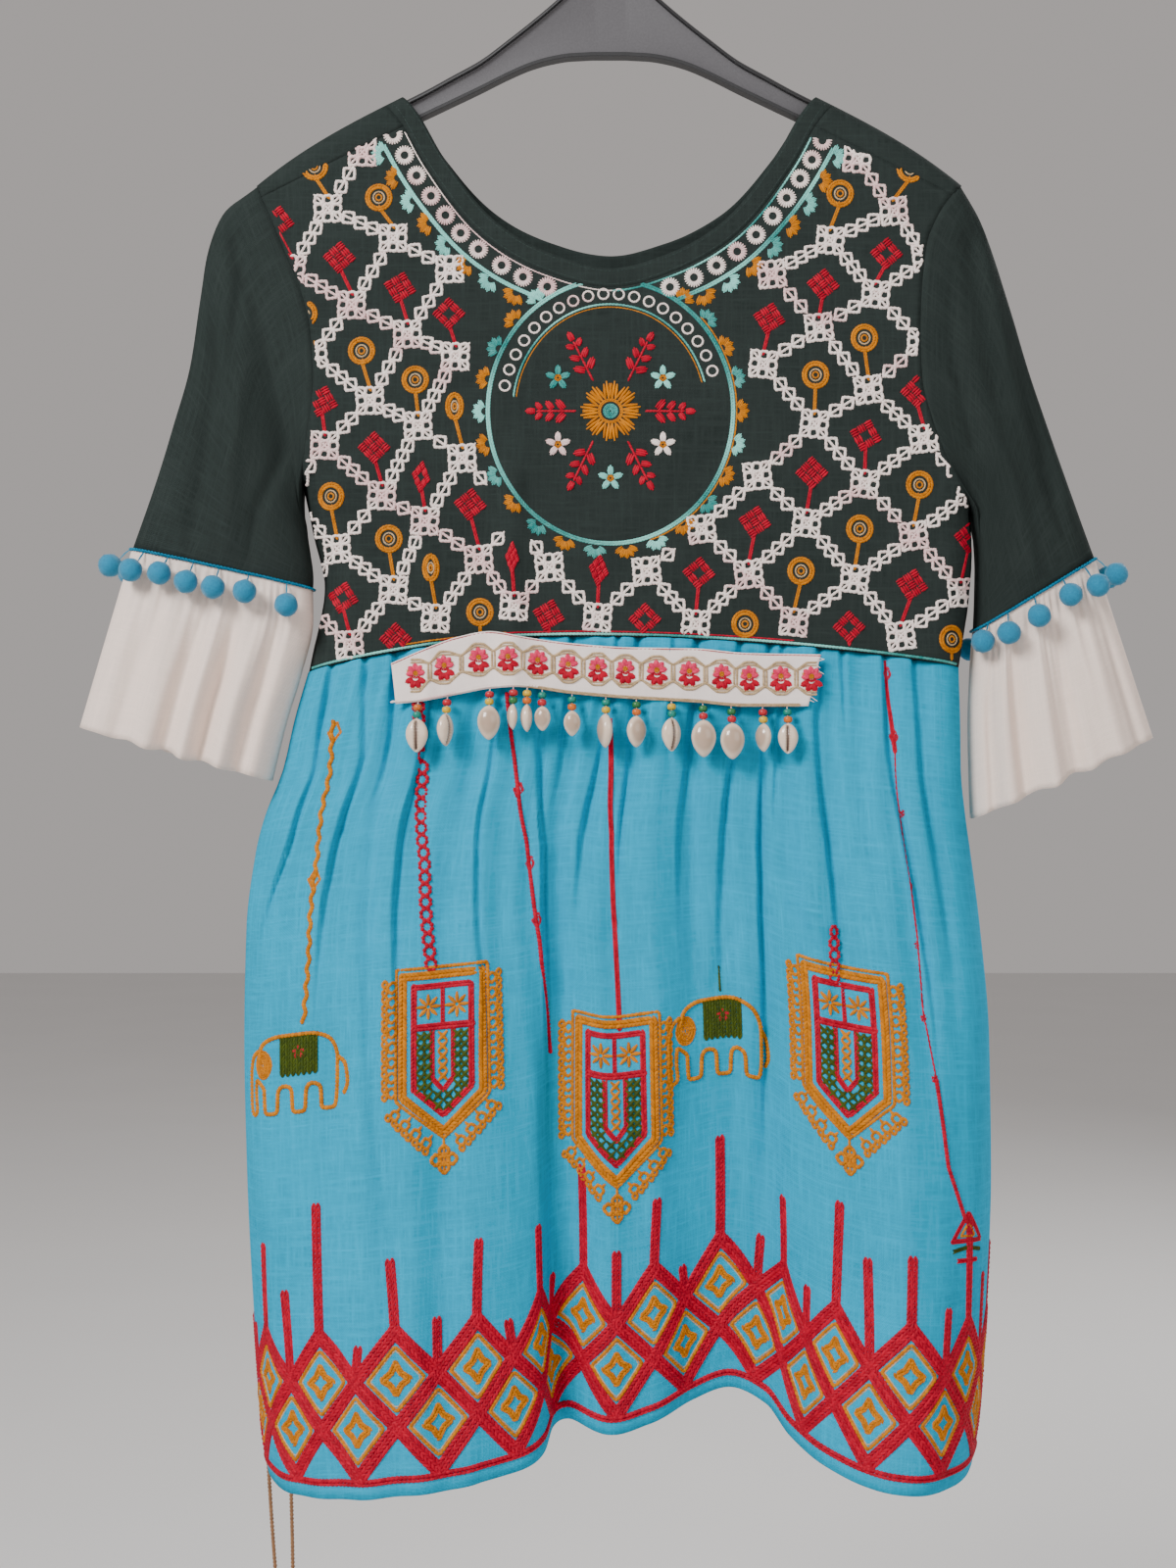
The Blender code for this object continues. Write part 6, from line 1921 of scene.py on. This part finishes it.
def build_frills():
    """Two frills gathered on to the cuffs, with a line of hem stitches."""
    around = np.linspace(0, 1, 280, endpoint=False)
    for hand in ("left", "right"):
        grid = frill_point(hand, around[None], np.linspace(0, 1, 30)[:, None])
        cloth("frill_" + hand, [grid], 0, "cream cotton", "cream_cotton", True)
        hem = frill_point(hand, around, 0.9)
        below = frill_point(hand, around, 0.93) - hem
        out = outward(hem, np.cross(np.roll(hem, -1, axis=0) - hem, below))
        needle = Needle(None, seed=51)
        ends = np.roll(hem, -1, axis=0) * 0.8 + hem * 0.2
        needle.add("cream", hem[::2], ends[::2], out[::2], 0.55, 0.4)
        needle.sew("frill_hem_" + hand, "cream_cotton")


def build_skirt():
    """The front and the back of the skirt, pleated and gathered at the waist."""
    for side, facing, across, down in (("front", -1, 370, 84), ("back", 1, 150, 50)):
        grid = skirt_point(side, np.linspace(0, 1, across)[None], np.linspace(0, 1, down)[:, None])
        cloth("skirt_" + side, [grid], facing, "turquoise cotton", "turquoise_cotton")


class TUNIC_OT_yoke(bpy.types.Operator):
    """Sew the yoke's front and back"""

    bl_idname = "tunic.yoke"
    bl_label = "Yoke"

    def execute(self, context):
        build_yoke()
        return {"FINISHED"}


class TUNIC_OT_neck_band(bpy.types.Operator):
    """Sew the neck band and its stitches"""

    bl_idname = "tunic.neck_band"
    bl_label = "Neck band"

    def execute(self, context):
        build_neck_band()
        return {"FINISHED"}


class TUNIC_OT_sleeves(bpy.types.Operator):
    """Sew both sleeves"""

    bl_idname = "tunic.sleeves"
    bl_label = "Sleeves"

    def execute(self, context):
        build_sleeves()
        return {"FINISHED"}


class TUNIC_OT_frills(bpy.types.Operator):
    """Gather both frills on to the cuffs"""

    bl_idname = "tunic.frills"
    bl_label = "Frills"

    def execute(self, context):
        build_frills()
        return {"FINISHED"}


class TUNIC_OT_skirt(bpy.types.Operator):
    """Pleat the skirt's front and back, and thread the waist seam"""

    bl_idname = "tunic.skirt"
    bl_label = "Skirt"

    def execute(self, context):
        build_skirt()
        build_waist_seam()
        return {"FINISHED"}


class TUNIC_OT_yoke_embroidery(bpy.types.Operator):
    """Embroider the yoke: lattice, flowers, neck rings and wreath"""

    bl_idname = "tunic.yoke_embroidery"
    bl_label = "Yoke embroidery"

    def execute(self, context):
        build_yoke_embroidery()
        return {"FINISHED"}


class TUNIC_OT_skirt_embroidery(bpy.types.Operator):
    """Embroider the skirt: hem lattice, hanging shapes, elephants and chains"""

    bl_idname = "tunic.skirt_embroidery"
    bl_label = "Skirt embroidery"

    def execute(self, context):
        build_skirt_embroidery()
        return {"FINISHED"}


class TUNIC_OT_ribbon(bpy.types.Operator):
    """Lay the rose ribbon over the waist seam"""

    bl_idname = "tunic.ribbon"
    bl_label = "Ribbon"

    def execute(self, context):
        build_ribbon()
        return {"FINISHED"}


class TUNIC_OT_drops(bpy.types.Operator):
    """Hang the cowrie shells and beads from the ribbon"""

    bl_idname = "tunic.drops"
    bl_label = "Shell drops"

    def execute(self, context):
        build_drops()
        return {"FINISHED"}


class TUNIC_OT_pompoms(bpy.types.Operator):
    """Hang the felt pompoms from the cuffs"""

    bl_idname = "tunic.pompoms"
    bl_label = "Pompoms"

    def execute(self, context):
        build_pompoms()
        return {"FINISHED"}


class TUNIC_OT_ties(bpy.types.Operator):
    """Hang the two tie cords from the side seam"""

    bl_idname = "tunic.ties"
    bl_label = "Tie cords"

    def execute(self, context):
        build_ties()
        return {"FINISHED"}


class TUNIC_OT_hanger(bpy.types.Operator):
    """Mould the hanger with its hook"""

    bl_idname = "tunic.hanger"
    bl_label = "Hanger"

    def execute(self, context):
        build_hanger()
        return {"FINISHED"}


class TUNIC_OT_stage(bpy.types.Operator):
    """Set the floor, the light and the camera"""

    bl_idname = "tunic.stage"
    bl_label = "Stage"

    def execute(self, context):
        build_stage()
        return {"FINISHED"}


PIECES = (TUNIC_OT_yoke, TUNIC_OT_neck_band, TUNIC_OT_sleeves, TUNIC_OT_frills, TUNIC_OT_skirt,
          TUNIC_OT_yoke_embroidery, TUNIC_OT_skirt_embroidery, TUNIC_OT_ribbon, TUNIC_OT_drops,
          TUNIC_OT_pompoms, TUNIC_OT_ties, TUNIC_OT_hanger, TUNIC_OT_stage)


class TUNIC_PT_pieces(bpy.types.Panel):
    """The tunic's settings and pieces"""

    bl_idname = "TUNIC_PT_pieces"
    bl_label = "Tunic"
    bl_space_type = "VIEW_3D"
    bl_region_type = "UI"
    bl_category = "Tunic"

    def draw(self, context):
        scene = context.scene
        for group in (scene.tunic_colours, scene.tunic_sizes):
            box = self.layout.box()
            for name in group.__annotations__:
                box.prop(group, name)
        for piece in PIECES:
            self.layout.operator(piece.bl_idname)


CLASSES = (TunicColours, TunicSizes, *PIECES, TUNIC_PT_pieces)


def register():
    for kind in CLASSES:
        bpy.utils.register_class(kind)
    bpy.types.Scene.tunic_colours = bpy.props.PointerProperty(type=TunicColours)
    bpy.types.Scene.tunic_sizes = bpy.props.PointerProperty(type=TunicSizes)


def unregister():
    del bpy.types.Scene.tunic_sizes
    del bpy.types.Scene.tunic_colours
    for kind in reversed(CLASSES):
        bpy.utils.unregister_class(kind)


def main():
    register()
    bpy.ops.tunic.yoke()
    bpy.ops.tunic.neck_band()
    bpy.ops.tunic.sleeves()
    bpy.ops.tunic.frills()
    bpy.ops.tunic.skirt()
    bpy.ops.tunic.yoke_embroidery()
    bpy.ops.tunic.skirt_embroidery()
    bpy.ops.tunic.ribbon()
    bpy.ops.tunic.drops()
    bpy.ops.tunic.pompoms()
    bpy.ops.tunic.ties()
    bpy.ops.tunic.hanger()
    bpy.ops.tunic.stage()


if __name__ == "__main__":
    main()
